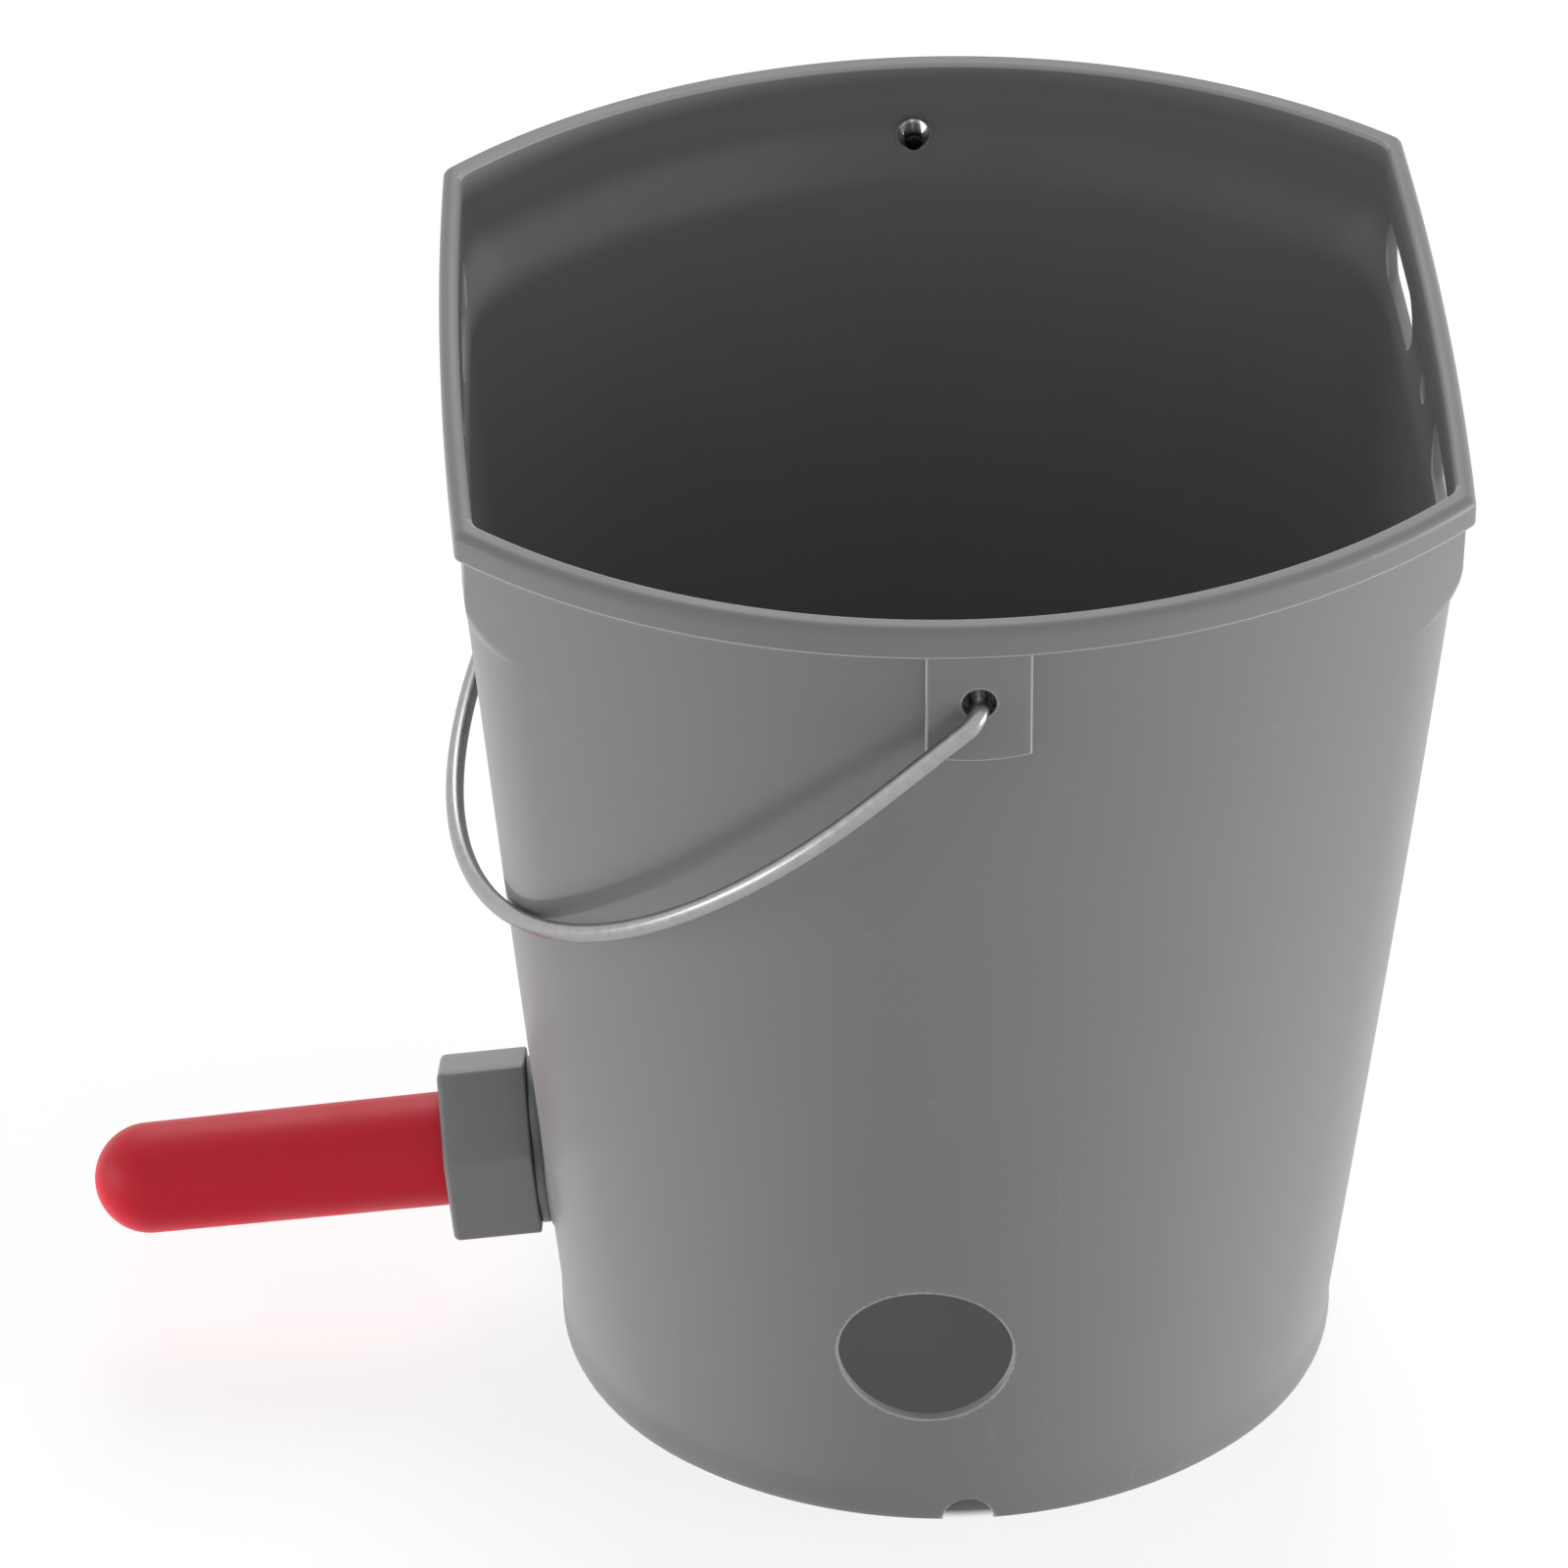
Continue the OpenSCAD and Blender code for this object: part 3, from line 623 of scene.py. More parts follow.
# Painted shade: the dark ring on the ear hole's cut face, where the gap round the hook lies in
# shade.
HOLE_SHADE_TONE = (0.03, 0.03, 0.03)
ONE_WALL = 30.0
BOTH_WALLS = 200.0
grip_hole = (GRIP_X, -FOOT_HALF[1], GRIP_Z)
ear_hole = (0.0, 0.0, EAR_HOLE_Z)
mark_holes(bucket_plastic, (
    (grip_hole, GRIP_R, 0.55, ONE_WALL, 0.8, HOLE_HIGHLIGHT_TONE),
    (ear_hole, EAR_HOLE_R - 0.35, 0.6, BOTH_WALLS, 0.95, HOLE_SHADE_TONE),
    (ear_hole, EAR_HOLE_R + 0.3, 0.25, BOTH_WALLS, 0.7, EAR_HOLE_HIGHLIGHT_TONE)))
bucket.data.materials.append(bucket_plastic)
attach(bucket, "bucket")
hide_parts("bucket")

# Bail.
# Galvanised steel wire, one length bent to a half circle, two legs and two hooks that
# point inwards through the ear holes. It hangs loosely and rests on the flat side.
WIRE_D = 4.2
BAIL_GAP = 1.9
BAIL_LEG = 29.0
BAIL_BEND_R = 4.0
BAIL_TAIL = 2.4
BAIL_REST_GAP = 0.35
# Painted shade on the hooks reaches this far out of the hole and fades over this length.
HOOK_SHADE_OUT = 0.5
HOOK_SHADE_FADE = 1.5
BAIL_REST = math.radians(47.4609)
bail_half_w = RIM_HALF[1] + BAIL_GAP + WIRE_D / 2
bail_pivot_z = EAR_HOLE_Z - EAR_HOLE_R + WIRE_D / 2 + BAIL_REST_GAP
hook_end = RIM_HALF[1] - RIM_FRONT_W - BAIL_TAIL


def bail_half_line():
    """[sideways, down the leg, wire thickness] from the hook's cut end to the far middle."""
    line = [(hook_end, 0.0, 0.78), (hook_end + 0.25, 0.0, 0.95), (hook_end + 0.5, 0.0, 1.0)]
    bend = bail_half_w - BAIL_BEND_R
    line += [(y, 0.0, 1.0) for y in np.linspace(hook_end + 2, bend, 4)]
    line += [(bend + BAIL_BEND_R * math.sin(a), BAIL_BEND_R * (1 - math.cos(a)), 1.0)
             for a in np.radians(np.linspace(7.5, 90, 12))]
    line += [(bail_half_w, v, 1.0) for v in np.linspace(BAIL_BEND_R, BAIL_LEG, 8)[1:]]
    line += [(bail_half_w * math.cos(a), BAIL_LEG + bail_half_w * math.sin(a), 1.0)
             for a in np.radians(np.linspace(2, 90, 45))]
    return line


def bail_path():
    """Line of the wire, with its girth and the mask for the painted shade on the two hooks in
    the ear holes.
    """
    half = bail_half_line()
    whole = half + [(-y, v, w) for y, v, w in half[-2::-1]]
    bm = bmesh.new()
    girth = bm.verts.layers.float.new("girth")
    hook_shade = bm.verts.layers.float.new("hook_shade")
    last = None
    for y, v, w in whole:
        vert = bm.verts.new((-v * math.sin(BAIL_REST) * MM, y * MM,
                             (bail_pivot_z - v * math.cos(BAIL_REST)) * MM))
        vert[girth] = w
        in_hole = (RIM_HALF[1] + HOOK_SHADE_OUT - abs(y)) / HOOK_SHADE_FADE
        vert[hook_shade] = min(1.0, max(0.0, in_hole)) * (v < 1.0)
        if last:
            bm.edges.new((last, vert))
        last = vert
    return new_piece("bail_wire", bm)


def construction(name, inputs):
    """Empty geometry tree with a geometry in, named sizes in, and a geometry out."""
    tree = bpy.data.node_groups.new(name, "GeometryNodeTree")
    tree.interface.new_socket("Geometry", in_out="INPUT", socket_type="NodeSocketGeometry")
    for label, kind in inputs:
        tree.interface.new_socket(label, in_out="INPUT", socket_type=kind)
    tree.interface.new_socket("Geometry", in_out="OUTPUT", socket_type="NodeSocketGeometry")
    return tree, tree.nodes.new("NodeGroupInput"), tree.nodes.new("NodeGroupOutput")


def finish_construction(tree, geometry, material, outlet):
    real = wired(tree, "GeometryNodeRealizeInstances", {"Geometry": geometry})
    painted = wired(tree, "GeometryNodeSetMaterial",
                    {"Geometry": real.outputs[0], "Material": material})
    tree.links.new(painted.outputs[0], outlet.inputs[0])


def built(piece, tree, values):
    """Runs the tree on the piece with these named values and keeps the plain mesh."""
    modifier = piece.modifiers.new("construction", "NODES")
    modifier.node_group = tree
    for item in tree.interface.items_tree:
        if item.in_out == "INPUT" and item.name in values:
            modifier[item.identifier] = values[item.name]
    mesh = evaluated(piece)
    piece.modifiers.clear()
    piece.data = mesh
    return piece


wire_tree, inlet, outlet = construction(
    "drawn_wire", (("Wire radius", "NodeSocketFloat"), ("Sides", "NodeSocketInt"),
                   ("Metal", "NodeSocketMaterial")))
path = wired(wire_tree, "GeometryNodeMeshToCurve", {"Mesh": inlet.outputs["Geometry"]})
girth = wired(wire_tree, "GeometryNodeInputNamedAttribute", {"Name": "girth"},
              data_type="FLOAT")
length = wired(wire_tree, "GeometryNodeSplineParameter").outputs["Length"]
marked = wired(wire_tree, "GeometryNodeStoreNamedAttribute",
               {"Geometry": path.outputs[0], "Name": "along", "Value": length},
               data_type="FLOAT", domain="POINT")
circle = wired(wire_tree, "GeometryNodeCurvePrimitiveCircle",
               {"Resolution": inlet.outputs["Sides"], "Radius": inlet.outputs["Wire radius"]})
spot = wired(wire_tree, "GeometryNodeInputPosition").outputs[0]
profile = wired(wire_tree, "GeometryNodeStoreNamedAttribute",
                {"Geometry": circle.outputs[0], "Name": "around", "Value": spot},
                data_type="FLOAT_VECTOR", domain="POINT")
swept = wired(wire_tree, "GeometryNodeCurveToMesh",
              {"Curve": marked.outputs[0], "Profile Curve": profile.outputs[0],
               "Scale": girth.outputs[0], "Fill Caps": True})
finish_construction(wire_tree, swept.outputs[0], inlet.outputs["Metal"], outlet)


def galvanised_wire():
    """Zinc-coated drawn wire: lengthwise die lines, dull patches of zinc, painted shade on the
    hooks.
    """
    material, tree, skin = new_material("bail_wire")
    along = wired(tree, "ShaderNodeAttribute", attribute_name="along").outputs["Fac"]
    around = wired(tree, "ShaderNodeAttribute", attribute_name="around").outputs["Vector"]
    parts = wired(tree, "ShaderNodeSeparateXYZ", {"Vector": around})
    place = wired(tree, "ShaderNodeCombineXYZ", {"X": parts.outputs[0], "Y": parts.outputs[1],
                                                 "Z": along})
    drawn = wired(tree, "ShaderNodeMapping", {"Vector": place.outputs[0],
                                              "Scale": (2600.0, 2600.0, 26.0)})
    lines = wired(tree, "ShaderNodeTexNoise", {"Vector": drawn.outputs[0], "Scale": 1.0,
                                               "Detail": 2.0})
    zinc = wired(tree, "ShaderNodeTexNoise", {"Vector": place.outputs[0], "Scale": 420.0,
                                              "Detail": 3.0})
    tone = blended(tree, zinc.outputs["Fac"], (0.28, 0.286, 0.29), (0.42, 0.42, 0.41))
    hook_shade = wired(tree, "ShaderNodeAttribute", attribute_name="hook_shade").outputs["Fac"]
    # Painted shade: the hooks inside the ear holes are darkened where they lie in shade.
    hook_shaded = blended(tree, hook_shade, tone, (0.02, 0.019, 0.02))
    tree.links.new(hook_shaded, skin.inputs["Base Color"])
    skin.inputs["Metallic"].default_value = 1.0
    tree.links.new(ranged(tree, zinc.outputs["Fac"], 0.3, 0.7, 0.27, 0.40),
                   skin.inputs["Roughness"])
    bump = wired(tree, "ShaderNodeBump", {"Height": lines.outputs["Fac"], "Strength": 0.2,
                                          "Distance": 0.00003})
    tree.links.new(bump.outputs[0], skin.inputs["Normal"])
    return material


bail = built(bail_path(), wire_tree, {"Wire radius": WIRE_D / 2 * MM, "Sides": 32,
                                      "Metal": galvanised_wire()})
shade(bail, 50)
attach(bail, "bail")
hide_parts("bail")

# Valve body.
FLANGE_R = 20.0
FLANGE_T = 2.4
HEAD_ROOT_R = 16.6
HEAD_CREST_R = 17.42
HEAD_LEN = 13.5
HEAD_PITCH = 3.0
TAIL_ROOT_R = 11.2
TAIL_CREST_R = 11.95
TAIL_PITCH = 2.0
THREAD_ROOT_SHARE = 0.74
THREAD_CREST_SHARE = 0.26
THREAD_SUNK = 1.25
BALL_R = 6.5
BALL_GAP = 0.35
SEAT_R = 4.81
SEAT_S = -3.0
GROOVE_W = 4.5
GROOVE_DEPTH = 2.6
GASKET_T = 2.0
LOCK_T = 5.0
TAIL_SPARE = 1.2
CAGE_R = 11.0
CAGE_T = 2.5
seat_in = SPOT_DEPTH - WALL
lock_s = seat_in - GASKET_T - LOCK_T
tail_s = lock_s - TAIL_SPARE
head_s = BOSS_H + FLANGE_T
mouth_s = head_s + HEAD_LEN
chamber_r = BALL_R + BALL_GAP
valve_body_skin = (
    (tail_s, TAIL_ROOT_R - 0.5), (tail_s + 0.5, TAIL_ROOT_R), (BOSS_H - 0.4, TAIL_ROOT_R),
    (BOSS_H, TAIL_ROOT_R + 0.4), (BOSS_H, FLANGE_R - 0.5), (BOSS_H + 0.15, FLANGE_R - 0.15),
    (BOSS_H + 0.5, FLANGE_R), (head_s - 0.5, FLANGE_R), (head_s - 0.15, FLANGE_R - 0.15),
    (head_s, FLANGE_R - 0.5), (head_s, HEAD_ROOT_R + 0.3), (head_s + 0.3, HEAD_ROOT_R),
    (mouth_s - 0.7, HEAD_ROOT_R), (mouth_s - 0.2, HEAD_ROOT_R - 0.2),
    (mouth_s, HEAD_ROOT_R - 0.7), (mouth_s, CAGE_R), (mouth_s - CAGE_T, CAGE_R),
    (mouth_s - CAGE_T, chamber_r), (SEAT_S, chamber_r), (SEAT_S, SEAT_R), (tail_s, SEAT_R))
valve_plastic = moulded_plastic("valve_plastic", (0.175, 0.178, 0.183), 0.42, 0.0005,
                                0.00004, 0.08, 0.1)

thread_tree, inlet, outlet = construction(
    "screw_thread", (("Pitch", "NodeSocketFloat"), ("Length", "NodeSocketFloat"),
                     ("Root radius", "NodeSocketFloat"), ("Crest radius", "NodeSocketFloat"),
                     ("Plastic", "NodeSocketMaterial")))
turns = maths(thread_tree, "DIVIDE", inlet.outputs["Length"], inlet.outputs["Pitch"])
depth = maths(thread_tree, "SUBTRACT", inlet.outputs["Crest radius"],
              inlet.outputs["Root radius"])
root_w = maths(thread_tree, "MULTIPLY", inlet.outputs["Pitch"], THREAD_ROOT_SHARE)
crest_w = maths(thread_tree, "MULTIPLY", inlet.outputs["Pitch"], THREAD_CREST_SHARE)
tall = maths(thread_tree, "MULTIPLY", depth, THREAD_SUNK)
middle_r = maths(thread_tree, "SUBTRACT", inlet.outputs["Crest radius"],
                 maths(thread_tree, "MULTIPLY", tall, 0.5))
helix = wired(thread_tree, "GeometryNodeCurveSpiral",
              {"Resolution": 64, "Rotations": turns, "Start Radius": middle_r,
               "End Radius": middle_r, "Height": inlet.outputs["Length"], "Reverse": True})
upright = wired(thread_tree, "GeometryNodeSetCurveNormal", {"Curve": helix.outputs[0]},
                mode="Z_UP")
tooth = wired(thread_tree, "GeometryNodeCurvePrimitiveQuadrilateral",
              {"Height": tall, "Bottom Width": root_w, "Top Width": crest_w, "Offset": 0.0},
              mode="TRAPEZOID")
outwards = wired(thread_tree, "GeometryNodeTransform",
                 {"Geometry": tooth.outputs[0], "Rotation": (0.0, 0.0, -math.pi / 2)})
ridge = wired(thread_tree, "GeometryNodeCurveToMesh",
              {"Curve": upright.outputs[0], "Profile Curve": outwards.outputs[0],
               "Fill Caps": True})
finish_construction(thread_tree, ridge.outputs[0], inlet.outputs["Plastic"], outlet)


def screw_thread(name, start, length, pitch, root_r, crest_r):
    """Helical ridge on the valve body, from a start along its axis."""
    bm = bmesh.new()
    piece = built(new_piece(name, bm), thread_tree,
                  {"Pitch": pitch * MM, "Length": length * MM, "Root radius": root_r * MM,
                   "Crest radius": crest_r * MM, "Plastic": valve_plastic})
    piece.data.transform(valve_place @ Matrix.Translation((0, 0, start * MM)))
    piece.data.update()
    shade(piece, 40)
    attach(piece, "bucket")
    return piece


bm = bmesh.new()
revolved(bm, valve_body_skin, closed=True)
valve_body = new_piece("valve_body_moulding", bm)
groove_s = SEAT_S + chamber_r / 2
groove_reach = 2 * (chamber_r + GROOVE_DEPTH)
for size in ((groove_reach, GROOVE_W, mouth_s), (GROOVE_W, groove_reach, mouth_s)):
    bm = bmesh.new()
    middle = Matrix.Translation((0, 0, (groove_s + mouth_s / 2) * MM))
    bmesh.ops.create_cube(bm, size=MM, matrix=valve_place @ middle
                          @ Matrix.Diagonal((*size, 1)))
    combine(valve_body, bm, "DIFFERENCE")
shade(valve_body)
valve_body.data.materials.append(valve_plastic)
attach(valve_body, "bucket")
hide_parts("valve_body")
head_thread = screw_thread("valve_head_thread", head_s + 1.2, HEAD_LEN - 2.2, HEAD_PITCH,
                           HEAD_ROOT_R, HEAD_CREST_R)
tail_thread = screw_thread("valve_tail_thread", tail_s + 0.6, seat_in - tail_s - 0.8,
                           TAIL_PITCH, TAIL_ROOT_R, TAIL_CREST_R)

# Wall gasket.
# Black rubber washer inside the bucket, squeezed against the wall by the lock nut.
GASKET_R = 17.0


def black_rubber():
    """Moulded rubber with a dusty bloom."""
    material, tree, skin = new_material("gasket_rubber")
    place = wired(tree, "ShaderNodeTexCoord").outputs["Object"]
    bloom = wired(tree, "ShaderNodeTexNoise", {"Vector": place, "Scale": 160.0, "Detail": 3.0})
    tone = blended(tree, bloom.outputs["Fac"], (0.012, 0.012, 0.012), (0.04, 0.04, 0.04))
    tree.links.new(tone, skin.inputs["Base Color"])
    skin.inputs["Roughness"].default_value = 0.62
    return material


bm = bmesh.new()
gasket_s = seat_in - GASKET_T
revolved(bm, ((gasket_s, TAIL_CREST_R + 0.05), (gasket_s, GASKET_R - 0.4),
              (gasket_s + 0.12, GASKET_R - 0.12), (gasket_s + 0.5, GASKET_R + 0.08),
              (seat_in - 0.5, GASKET_R + 0.08), (seat_in - 0.12, GASKET_R - 0.12),
              (seat_in, GASKET_R - 0.4), (seat_in, TAIL_CREST_R + 0.05)), closed=True)
gasket = new_piece("wall_gasket_ring", bm)
shade(gasket)
gasket.data.materials.append(black_rubber())
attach(gasket, "bucket")
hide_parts("wall_gasket")

# Lock nut and union nut.
# Two moulded hexagon nuts of the same grey plastic: the thin one inside holds the valve
# in the wall, the long one outside holds the teat's flange and was left turned by hand.
LOCK_AF = 32.0
LOCK_CORNER_R = 1.5
LOCK_EDGE_R = 0.7
NUT_AF = 41.0
NUT_LEN = 21.0
NUT_CORNER_R = 2.2
NUT_EDGE_R = 1.6
NUT_INNER_EDGE_R = 0.6
NUT_GAP = 0.1
NUT_TURN = -4.0
NUT_BORE_R = 17.55
TEAT_FLANGE_T = 3.0
SHOULDER_GAP = 0.05
TEAT_MOUTH_R = 13.95


def six_sides(across_flats, corner_r, inset, turn):
    """Hexagon with rounded corners and very slightly crowned sides, taken in by an inset."""
    r = max(0.3, corner_r - inset)
    reach = (across_flats / 2 - inset - r) / math.cos(math.pi / 6)
    border = []
    for k in range(6):
        for a in np.linspace(-30, 30, 9):
            corner = math.radians(60 * k + turn)
            out = math.radians(60 * k + a + turn)
            border.append((reach * math.cos(corner) + r * math.cos(out),
                           reach * math.sin(corner) + r * math.sin(out)))
        start = np.array(border[-1])
        corner = math.radians(60 * (k + 1) + turn)
        out = math.radians(60 * (k + 1) - 30 + turn)
        end = np.array((reach * math.cos(corner) + r * math.cos(out),
                        reach * math.sin(corner) + r * math.sin(out)))
        border += [tuple(mix(start, end, t)) for t in (0.2, 0.4, 0.6, 0.8)]
    return np.array(border)


def hexagon_nut(bm, ends, across_flats, corner_r, edges, turn, bore):
    """Closed skin: up the six sides from one end, then back down the round bore."""
    def side(z, inset):
        return ring(six_sides(across_flats, corner_r, inset, turn), z)

    def hole(z, r):
        flat = six_sides(across_flats, corner_r, 0, turn)
        return ring(flat / np.linalg.norm(flat, axis=1)[:, None] * r, z)

    rings = [side(ends[0] + edges[0] * (1 - math.sin(a)), edges[0] * (1 - math.cos(a)))
             for a in np.radians(np.linspace(90, 0, 7))]
    rings += [side(mix(*ends, t), 0) for t in (0.25, 0.5, 0.75)]
    rings += [side(ends[1] - edges[1] * (1 - math.sin(a)), edges[1] * (1 - math.cos(a)))
              for a in np.radians(np.linspace(0, 90, 8))]
    rings += [hole(z, r) for z, r in bore]
    skin_at_valve(bm, rings, closed=True)


bm = bmesh.new()
hexagon_nut(bm, (lock_s, lock_s + LOCK_T), LOCK_AF, LOCK_CORNER_R, (LOCK_EDGE_R, LOCK_EDGE_R),
            0.0, ((lock_s + LOCK_T, TAIL_CREST_R + 0.5),
                  (lock_s + LOCK_T - 0.5, TAIL_CREST_R + 0.05),
                  (lock_s + 0.5, TAIL_CREST_R + 0.05), (lock_s, TAIL_CREST_R + 0.5)))
lock_nut = new_piece("lock_nut_moulding", bm)
shade(lock_nut, 35)
lock_nut.data.materials.append(valve_plastic)
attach(lock_nut, "bucket")
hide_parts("lock_nut")

nut_plastic = moulded_plastic("nut_plastic", (0.170, 0.173, 0.178), 0.40, 0.0005, 0.00004,
                              0.08, 0.2)
nut_plastic.node_tree.nodes["Principled BSDF"].inputs["Specular IOR Level"].default_value = 0.75
nut_s = head_s + NUT_GAP
nut_end = nut_s + NUT_LEN
shoulder_s = mouth_s + TEAT_FLANGE_T + SHOULDER_GAP
bm = bmesh.new()
hexagon_nut(bm, (nut_s, nut_end), NUT_AF, NUT_CORNER_R, (NUT_INNER_EDGE_R, NUT_EDGE_R),
            NUT_TURN, ((nut_end, TEAT_MOUTH_R + 0.7), (nut_end - 0.2, TEAT_MOUTH_R + 0.25),
                       (nut_end - 0.7, TEAT_MOUTH_R), (shoulder_s, TEAT_MOUTH_R),
                       (shoulder_s, NUT_BORE_R), (nut_s + 0.6, NUT_BORE_R),
                       (nut_s, NUT_BORE_R + 0.6)))
union_nut = new_piece("union_nut_moulding", bm)
shade(union_nut, 35)
union_nut.data.materials.append(nut_plastic)
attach(union_nut, "union_nut")
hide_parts("union_nut")

# Ball cage and check ball.
# A pale plastic disc with four windows keeps the ball in its chamber; both are hidden
# by the teat while it is on, so the CAD solids stay and only get their finish.
cage_plastic = moulded_plastic("cage_plastic", (0.47, 0.47, 0.44), 0.40, 0.0005, 0.00003,
                               0.06, 0.2)
ball_plastic = moulded_plastic("ball_plastic", (0.70, 0.70, 0.66), 0.22, 0.0008, 0.00001,
                               0.05, 0.3)
for node, finish in (("ball_cage", cage_plastic), ("check_ball", ball_plastic)):
    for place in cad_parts[node].material_slots:
        place.material = finish

# Teat.
# Soft red rubber, hollow, dipped to a round tip with a small drinking hole. Its flange
# is clamped between the valve's mouth and the shoulder of the union nut.
TEAT_R = 13.65
TEAT_TIP_R = 13.25
TEAT_LEN = 92.1
TEAT_FLANGE_R = 16.8
TEAT_WALL = 3.9
TEAT_HOLE_R = 0.9
tip_s = mouth_s + TEAT_LEN - TEAT_TIP_R
bore_r = TEAT_TIP_R - TEAT_WALL


def teat_skin():
    """[along the axis, radius]: flange, body, tip, then back down the bore."""
    profile = [(mouth_s, TEAT_FLANGE_R - 0.5), (mouth_s + 0.15, TEAT_FLANGE_R - 0.15),
               (mouth_s + 0.5, TEAT_FLANGE_R), (mouth_s + TEAT_FLANGE_T - 0.5, TEAT_FLANGE_R),
               (mouth_s + TEAT_FLANGE_T - 0.15, TEAT_FLANGE_R - 0.15),
               (mouth_s + TEAT_FLANGE_T, TEAT_FLANGE_R - 0.5),
               (mouth_s + TEAT_FLANGE_T, TEAT_R + 0.15), (mouth_s + TEAT_FLANGE_T + 0.3, TEAT_R)]
    profile += [(s, mix(TEAT_R, TEAT_TIP_R, (s - mouth_s) / (tip_s - mouth_s)))
                for s in np.linspace(mouth_s + 5, tip_s, 24)]
    profile += [(tip_s + TEAT_TIP_R * math.sin(a), TEAT_TIP_R * math.cos(a))
                for a in np.radians(np.linspace(4, 82, 22))]
    lip = math.radians(84)
    profile += [(tip_s + TEAT_TIP_R * math.sin(lip) - 0.05, TEAT_HOLE_R + 0.35),
                (tip_s + TEAT_TIP_R - 0.25, TEAT_HOLE_R + 0.1),
                (tip_s + TEAT_TIP_R - 0.6, TEAT_HOLE_R),
                (tip_s + bore_r + 0.2, TEAT_HOLE_R)]
    profile += [(tip_s + bore_r * math.sin(a), bore_r * math.cos(a))
                for a in np.radians(np.linspace(82, 0, 12))]
    profile += [(s, bore_r) for s in np.linspace(tip_s - 4, mouth_s, 8)]
    return profile


def red_rubber():
    """Soft rubber: it glows a little where light goes in, with a faint bloom and marks."""
    material, tree, skin = new_material("teat_rubber")
    place = wired(tree, "ShaderNodeTexCoord").outputs["Object"]
    cloud = wired(tree, "ShaderNodeTexNoise", {"Vector": place, "Scale": 60.0, "Detail": 4.0})
    tone = blended(tree, cloud.outputs["Fac"], (0.60, 0.005, 0.024), (0.69, 0.012, 0.035))
    tree.links.new(tone, skin.inputs["Base Color"])
    tree.links.new(ranged(tree, cloud.outputs["Fac"], 0.3, 0.7, 0.42, 0.55),
                   skin.inputs["Roughness"])
    skin.inputs["Specular IOR Level"].default_value = 0.35
    skin.inputs["Subsurface Weight"].default_value = 0.35
    skin.inputs["Subsurface Radius"].default_value = (1.0, 0.22, 0.18)
    skin.inputs["Subsurface Scale"].default_value = 0.004
    fine = wired(tree, "ShaderNodeTexNoise", {"Vector": place, "Scale": 1500.0, "Detail": 2.0})
    bump = wired(tree, "ShaderNodeBump", {"Height": fine.outputs["Fac"], "Strength": 0.4,
                                          "Distance": 0.00003})
    tree.links.new(bump.outputs[0], skin.inputs["Normal"])
    return material


bm = bmesh.new()
revolved(bm, teat_skin(), sides=128, closed=True)
teat = new_piece("teat_rubber_skin", bm)
shade(teat, 35)
teat.data.materials.append(red_rubber())
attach(teat, "teat")
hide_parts("teat")

# Floor and light.
# A plain pale floor in soft studio light. As on a glass table, the low lamps shine up at
# the object from both sides, so its sides are brighter than its front, and two long low
# panels light the rim from across the opening.
FLOOR_REACH = 6.0
FLOOR_LIFT = 0.68
FLOOR_TONE = 0.5


def pale_floor():
    """Plain floor, lifted to near white for the camera outside the foot ring only."""
    material, tree, skin = new_material("pale_floor")
    skin.inputs["Base Color"].default_value = (FLOOR_TONE, FLOOR_TONE, FLOOR_TONE, 1)
    skin.inputs["Roughness"].default_value = 0.9
    skin.inputs["Specular IOR Level"].default_value = 0.1
    place = wired(tree, "ShaderNodeTexCoord").outputs["Object"]
    rounded = wired(tree, "ShaderNodeVectorMath",
                    {0: place, 1: (1.0, FOOT_HALF[0] / FOOT_HALF[1], 1.0)},
                    operation="MULTIPLY").outputs[0]
    reach = wired(tree, "ShaderNodeVectorMath", {0: rounded},
                  operation="LENGTH").outputs["Value"]
    foot = FOOT_HALF[0] * MM
    bright = ranged(tree, reach, foot - WALL * MM, foot, 0.0, FLOOR_LIFT)
    rays = wired(tree, "ShaderNodeLightPath")
    seen = maths(tree, "MAXIMUM", rays.outputs["Is Camera Ray"], rays.outputs["Is Glossy Ray"])
    lift = wired(tree, "ShaderNodeEmission", {"Strength": maths(tree, "MULTIPLY", seen, bright)})
    both = wired(tree, "ShaderNodeAddShader", {0: skin.outputs[0], 1: lift.outputs[0]})
    tree.links.new(both.outputs[0], tree.nodes["Material Output"].inputs["Surface"])
    return material


bm = bmesh.new()
bmesh.ops.create_grid(bm, x_segments=2, y_segments=2, size=FLOOR_REACH)
floor = new_piece("floor", bm)
floor.data.materials.append(pale_floor())

world = bpy.data.worlds.new("studio")
bpy.context.scene.world = world
world.use_nodes = True
tree = world.node_tree
rays = wired(tree, "ShaderNodeLightPath")
backdrop = maths(tree, "MAXIMUM", rays.outputs["Is Camera Ray"],
                 maths(tree, "MAXIMUM", rays.outputs["Is Glossy Ray"],
                       rays.outputs["Is Transmission Ray"]))
HORIZON_LIGHT = 0.74
ZENITH_LIGHT = 0.33
way = wired(tree, "ShaderNodeTexCoord").outputs["Generated"]
height = wired(tree, "ShaderNodeSeparateXYZ", {"Vector": way}).outputs[2]
ambient = ranged(tree, height, 0.0, 1.0, HORIZON_LIGHT, ZENITH_LIGHT)
sky = tree.nodes["Background"]
sky.inputs["Color"].default_value = (1, 1, 1, 1)
tree.links.new(ranged(tree, backdrop, 0.0, 1.0, ambient, 1.0), sky.inputs["Strength"])


blockers = bpy.data.collections.new("stands_in_the_light")
for piece in (bucket, bail, valve_body, head_thread, tail_thread, gasket, lock_nut, union_nut,
              teat):
    blockers.objects.link(piece)


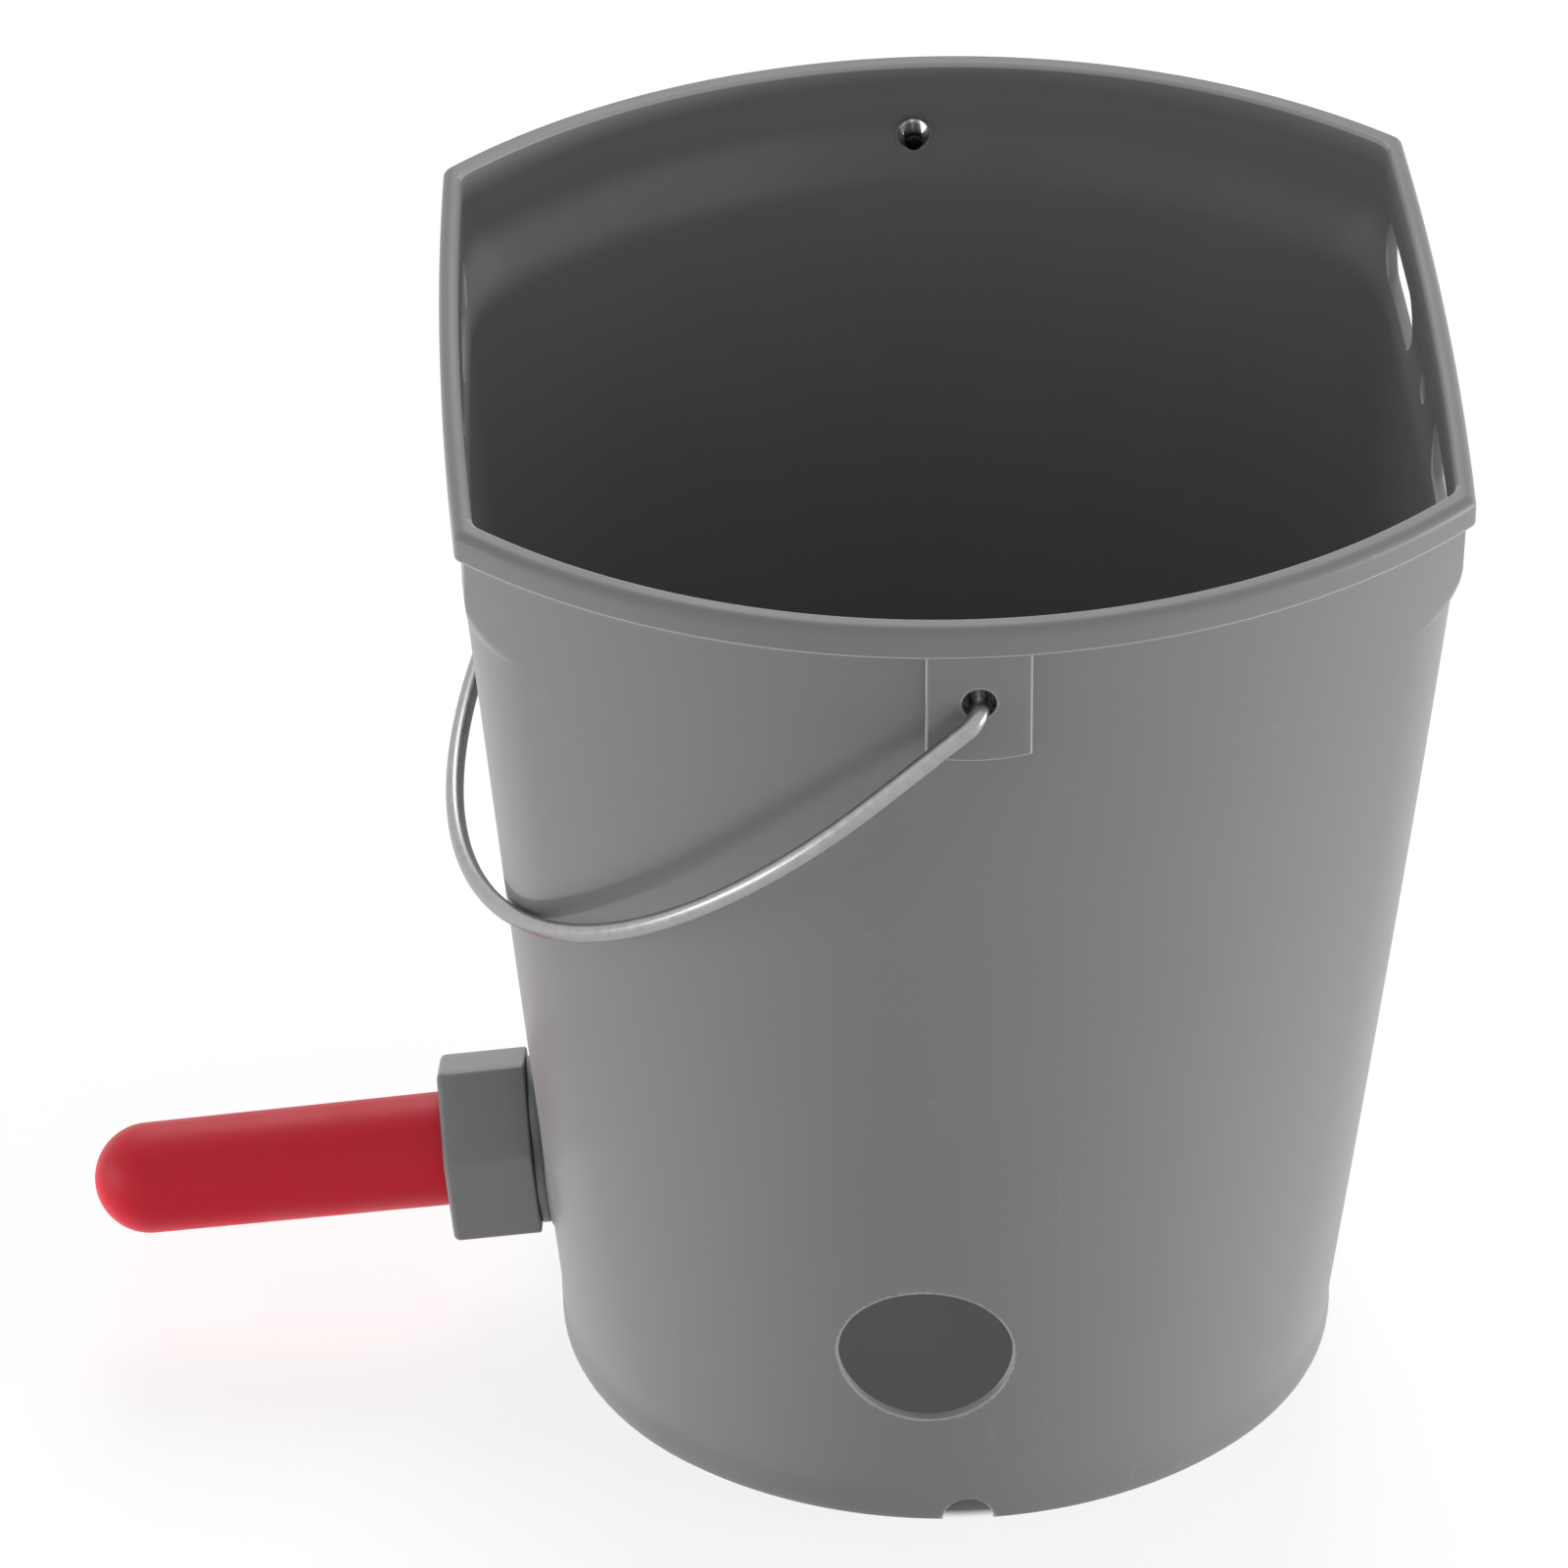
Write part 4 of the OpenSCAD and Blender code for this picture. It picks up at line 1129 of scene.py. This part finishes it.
def lamp(name, azimuth, elevation, strength, spread):
    """Distant soft lamp; azimuth 0 is in front, 90 to the right. The table lets the lamps
    below it through."""
    light = bpy.data.lights.new(name, "SUN")
    light.energy = strength
    light.angle = math.radians(spread)
    holder = bpy.data.objects.new(name, light)
    bpy.context.scene.collection.objects.link(holder)
    a, e = math.radians(azimuth), math.radians(elevation)
    towards = Vector((math.sin(a) * math.cos(e), -math.cos(a) * math.cos(e), math.sin(e)))
    holder.rotation_euler = towards.to_track_quat("Z", "Y").to_euler()
    if elevation < 0:
        holder.light_linking.blocker_collection = blockers
        holder.visible_glossy = False


lamp("below_left", -105.0, -46.0, 2.3, 4.0)
lamp("below_right", 100.0, -30.0, 1.4, 30.0)
lamp("below_front", 0.0, -25.0, 0.38, 15.0)
lamp("behind_left", -135.0, -38.0, 1.8, 3.0)
lamp("behind_right", 135.0, -38.0, 0.85, 10.0)
lamp("behind_above", 178.0, 40.0, 0.75, 30.0)

STRIP_FAR = 2.5
STRIP_SIZE = (1.6, 0.07)
STRIP_RISE = math.radians(1.2)


def strip(name, azimuth, strength):
    """Long low panel beside the table, just above the rim: it reaches the inner rim face
    across the opening, and no deeper."""
    light = bpy.data.lights.new(name, "AREA")
    light.shape = "RECTANGLE"
    light.size, light.size_y = STRIP_SIZE
    light.energy = strength * math.pi * STRIP_FAR ** 2
    holder = bpy.data.objects.new(name, light)
    bpy.context.scene.collection.objects.link(holder)
    a = math.radians(azimuth)
    towards = Vector((math.sin(a), -math.cos(a), math.tan(STRIP_RISE)))
    holder.location = Vector((0, 0, HEIGHT * MM)) + towards * STRIP_FAR
    holder.rotation_euler = towards.to_track_quat("Z", "Y").to_euler()


strip("panel_left", -80.0, 0.6)
strip("panel_right", 80.0, 1.65)

# Camera.
# It stands where the photographer stood, and the frame is the whole square photograph.
PHOTO_SIDE_PX = 1601.0
FOCAL_PX = 8646.18
CENTRE_PX = (794.11, 805.77)
CAMERA_DISTANCE = 1.9665
CAMERA_ELEVATION = math.radians(35.44)
CAMERA_AZIMUTH = math.radians(-2.27)
CAMERA_ROLL = math.radians(-0.71)
AIM = Vector((-0.03853, 0.0, 0.14274))
back = Vector((math.sin(CAMERA_AZIMUTH) * math.cos(CAMERA_ELEVATION),
               -math.cos(CAMERA_AZIMUTH) * math.cos(CAMERA_ELEVATION),
               math.sin(CAMERA_ELEVATION)))
level = (-back).cross(Vector((0, 0, 1))).normalized()
upward = level.cross(-back)
right = level * math.cos(CAMERA_ROLL) + upward * math.sin(CAMERA_ROLL)
top = -level * math.sin(CAMERA_ROLL) + upward * math.cos(CAMERA_ROLL)
lens = bpy.data.cameras.new("camera")
lens.sensor_width = 36.0
lens.lens = FOCAL_PX / PHOTO_SIDE_PX * lens.sensor_width
lens.shift_x = (PHOTO_SIDE_PX / 2 - CENTRE_PX[0]) / PHOTO_SIDE_PX
lens.shift_y = (CENTRE_PX[1] - PHOTO_SIDE_PX / 2) / PHOTO_SIDE_PX
lens.clip_start, lens.clip_end = 0.05, 50.0
camera = bpy.data.objects.new("camera", lens)
bpy.context.scene.collection.objects.link(camera)
camera.matrix_world = (Matrix.Translation(AIM + back * CAMERA_DISTANCE)
                       @ Matrix((right, top, back)).transposed().to_4x4())
bpy.context.scene.camera = camera
bpy.context.scene.view_settings.view_transform = "Standard"
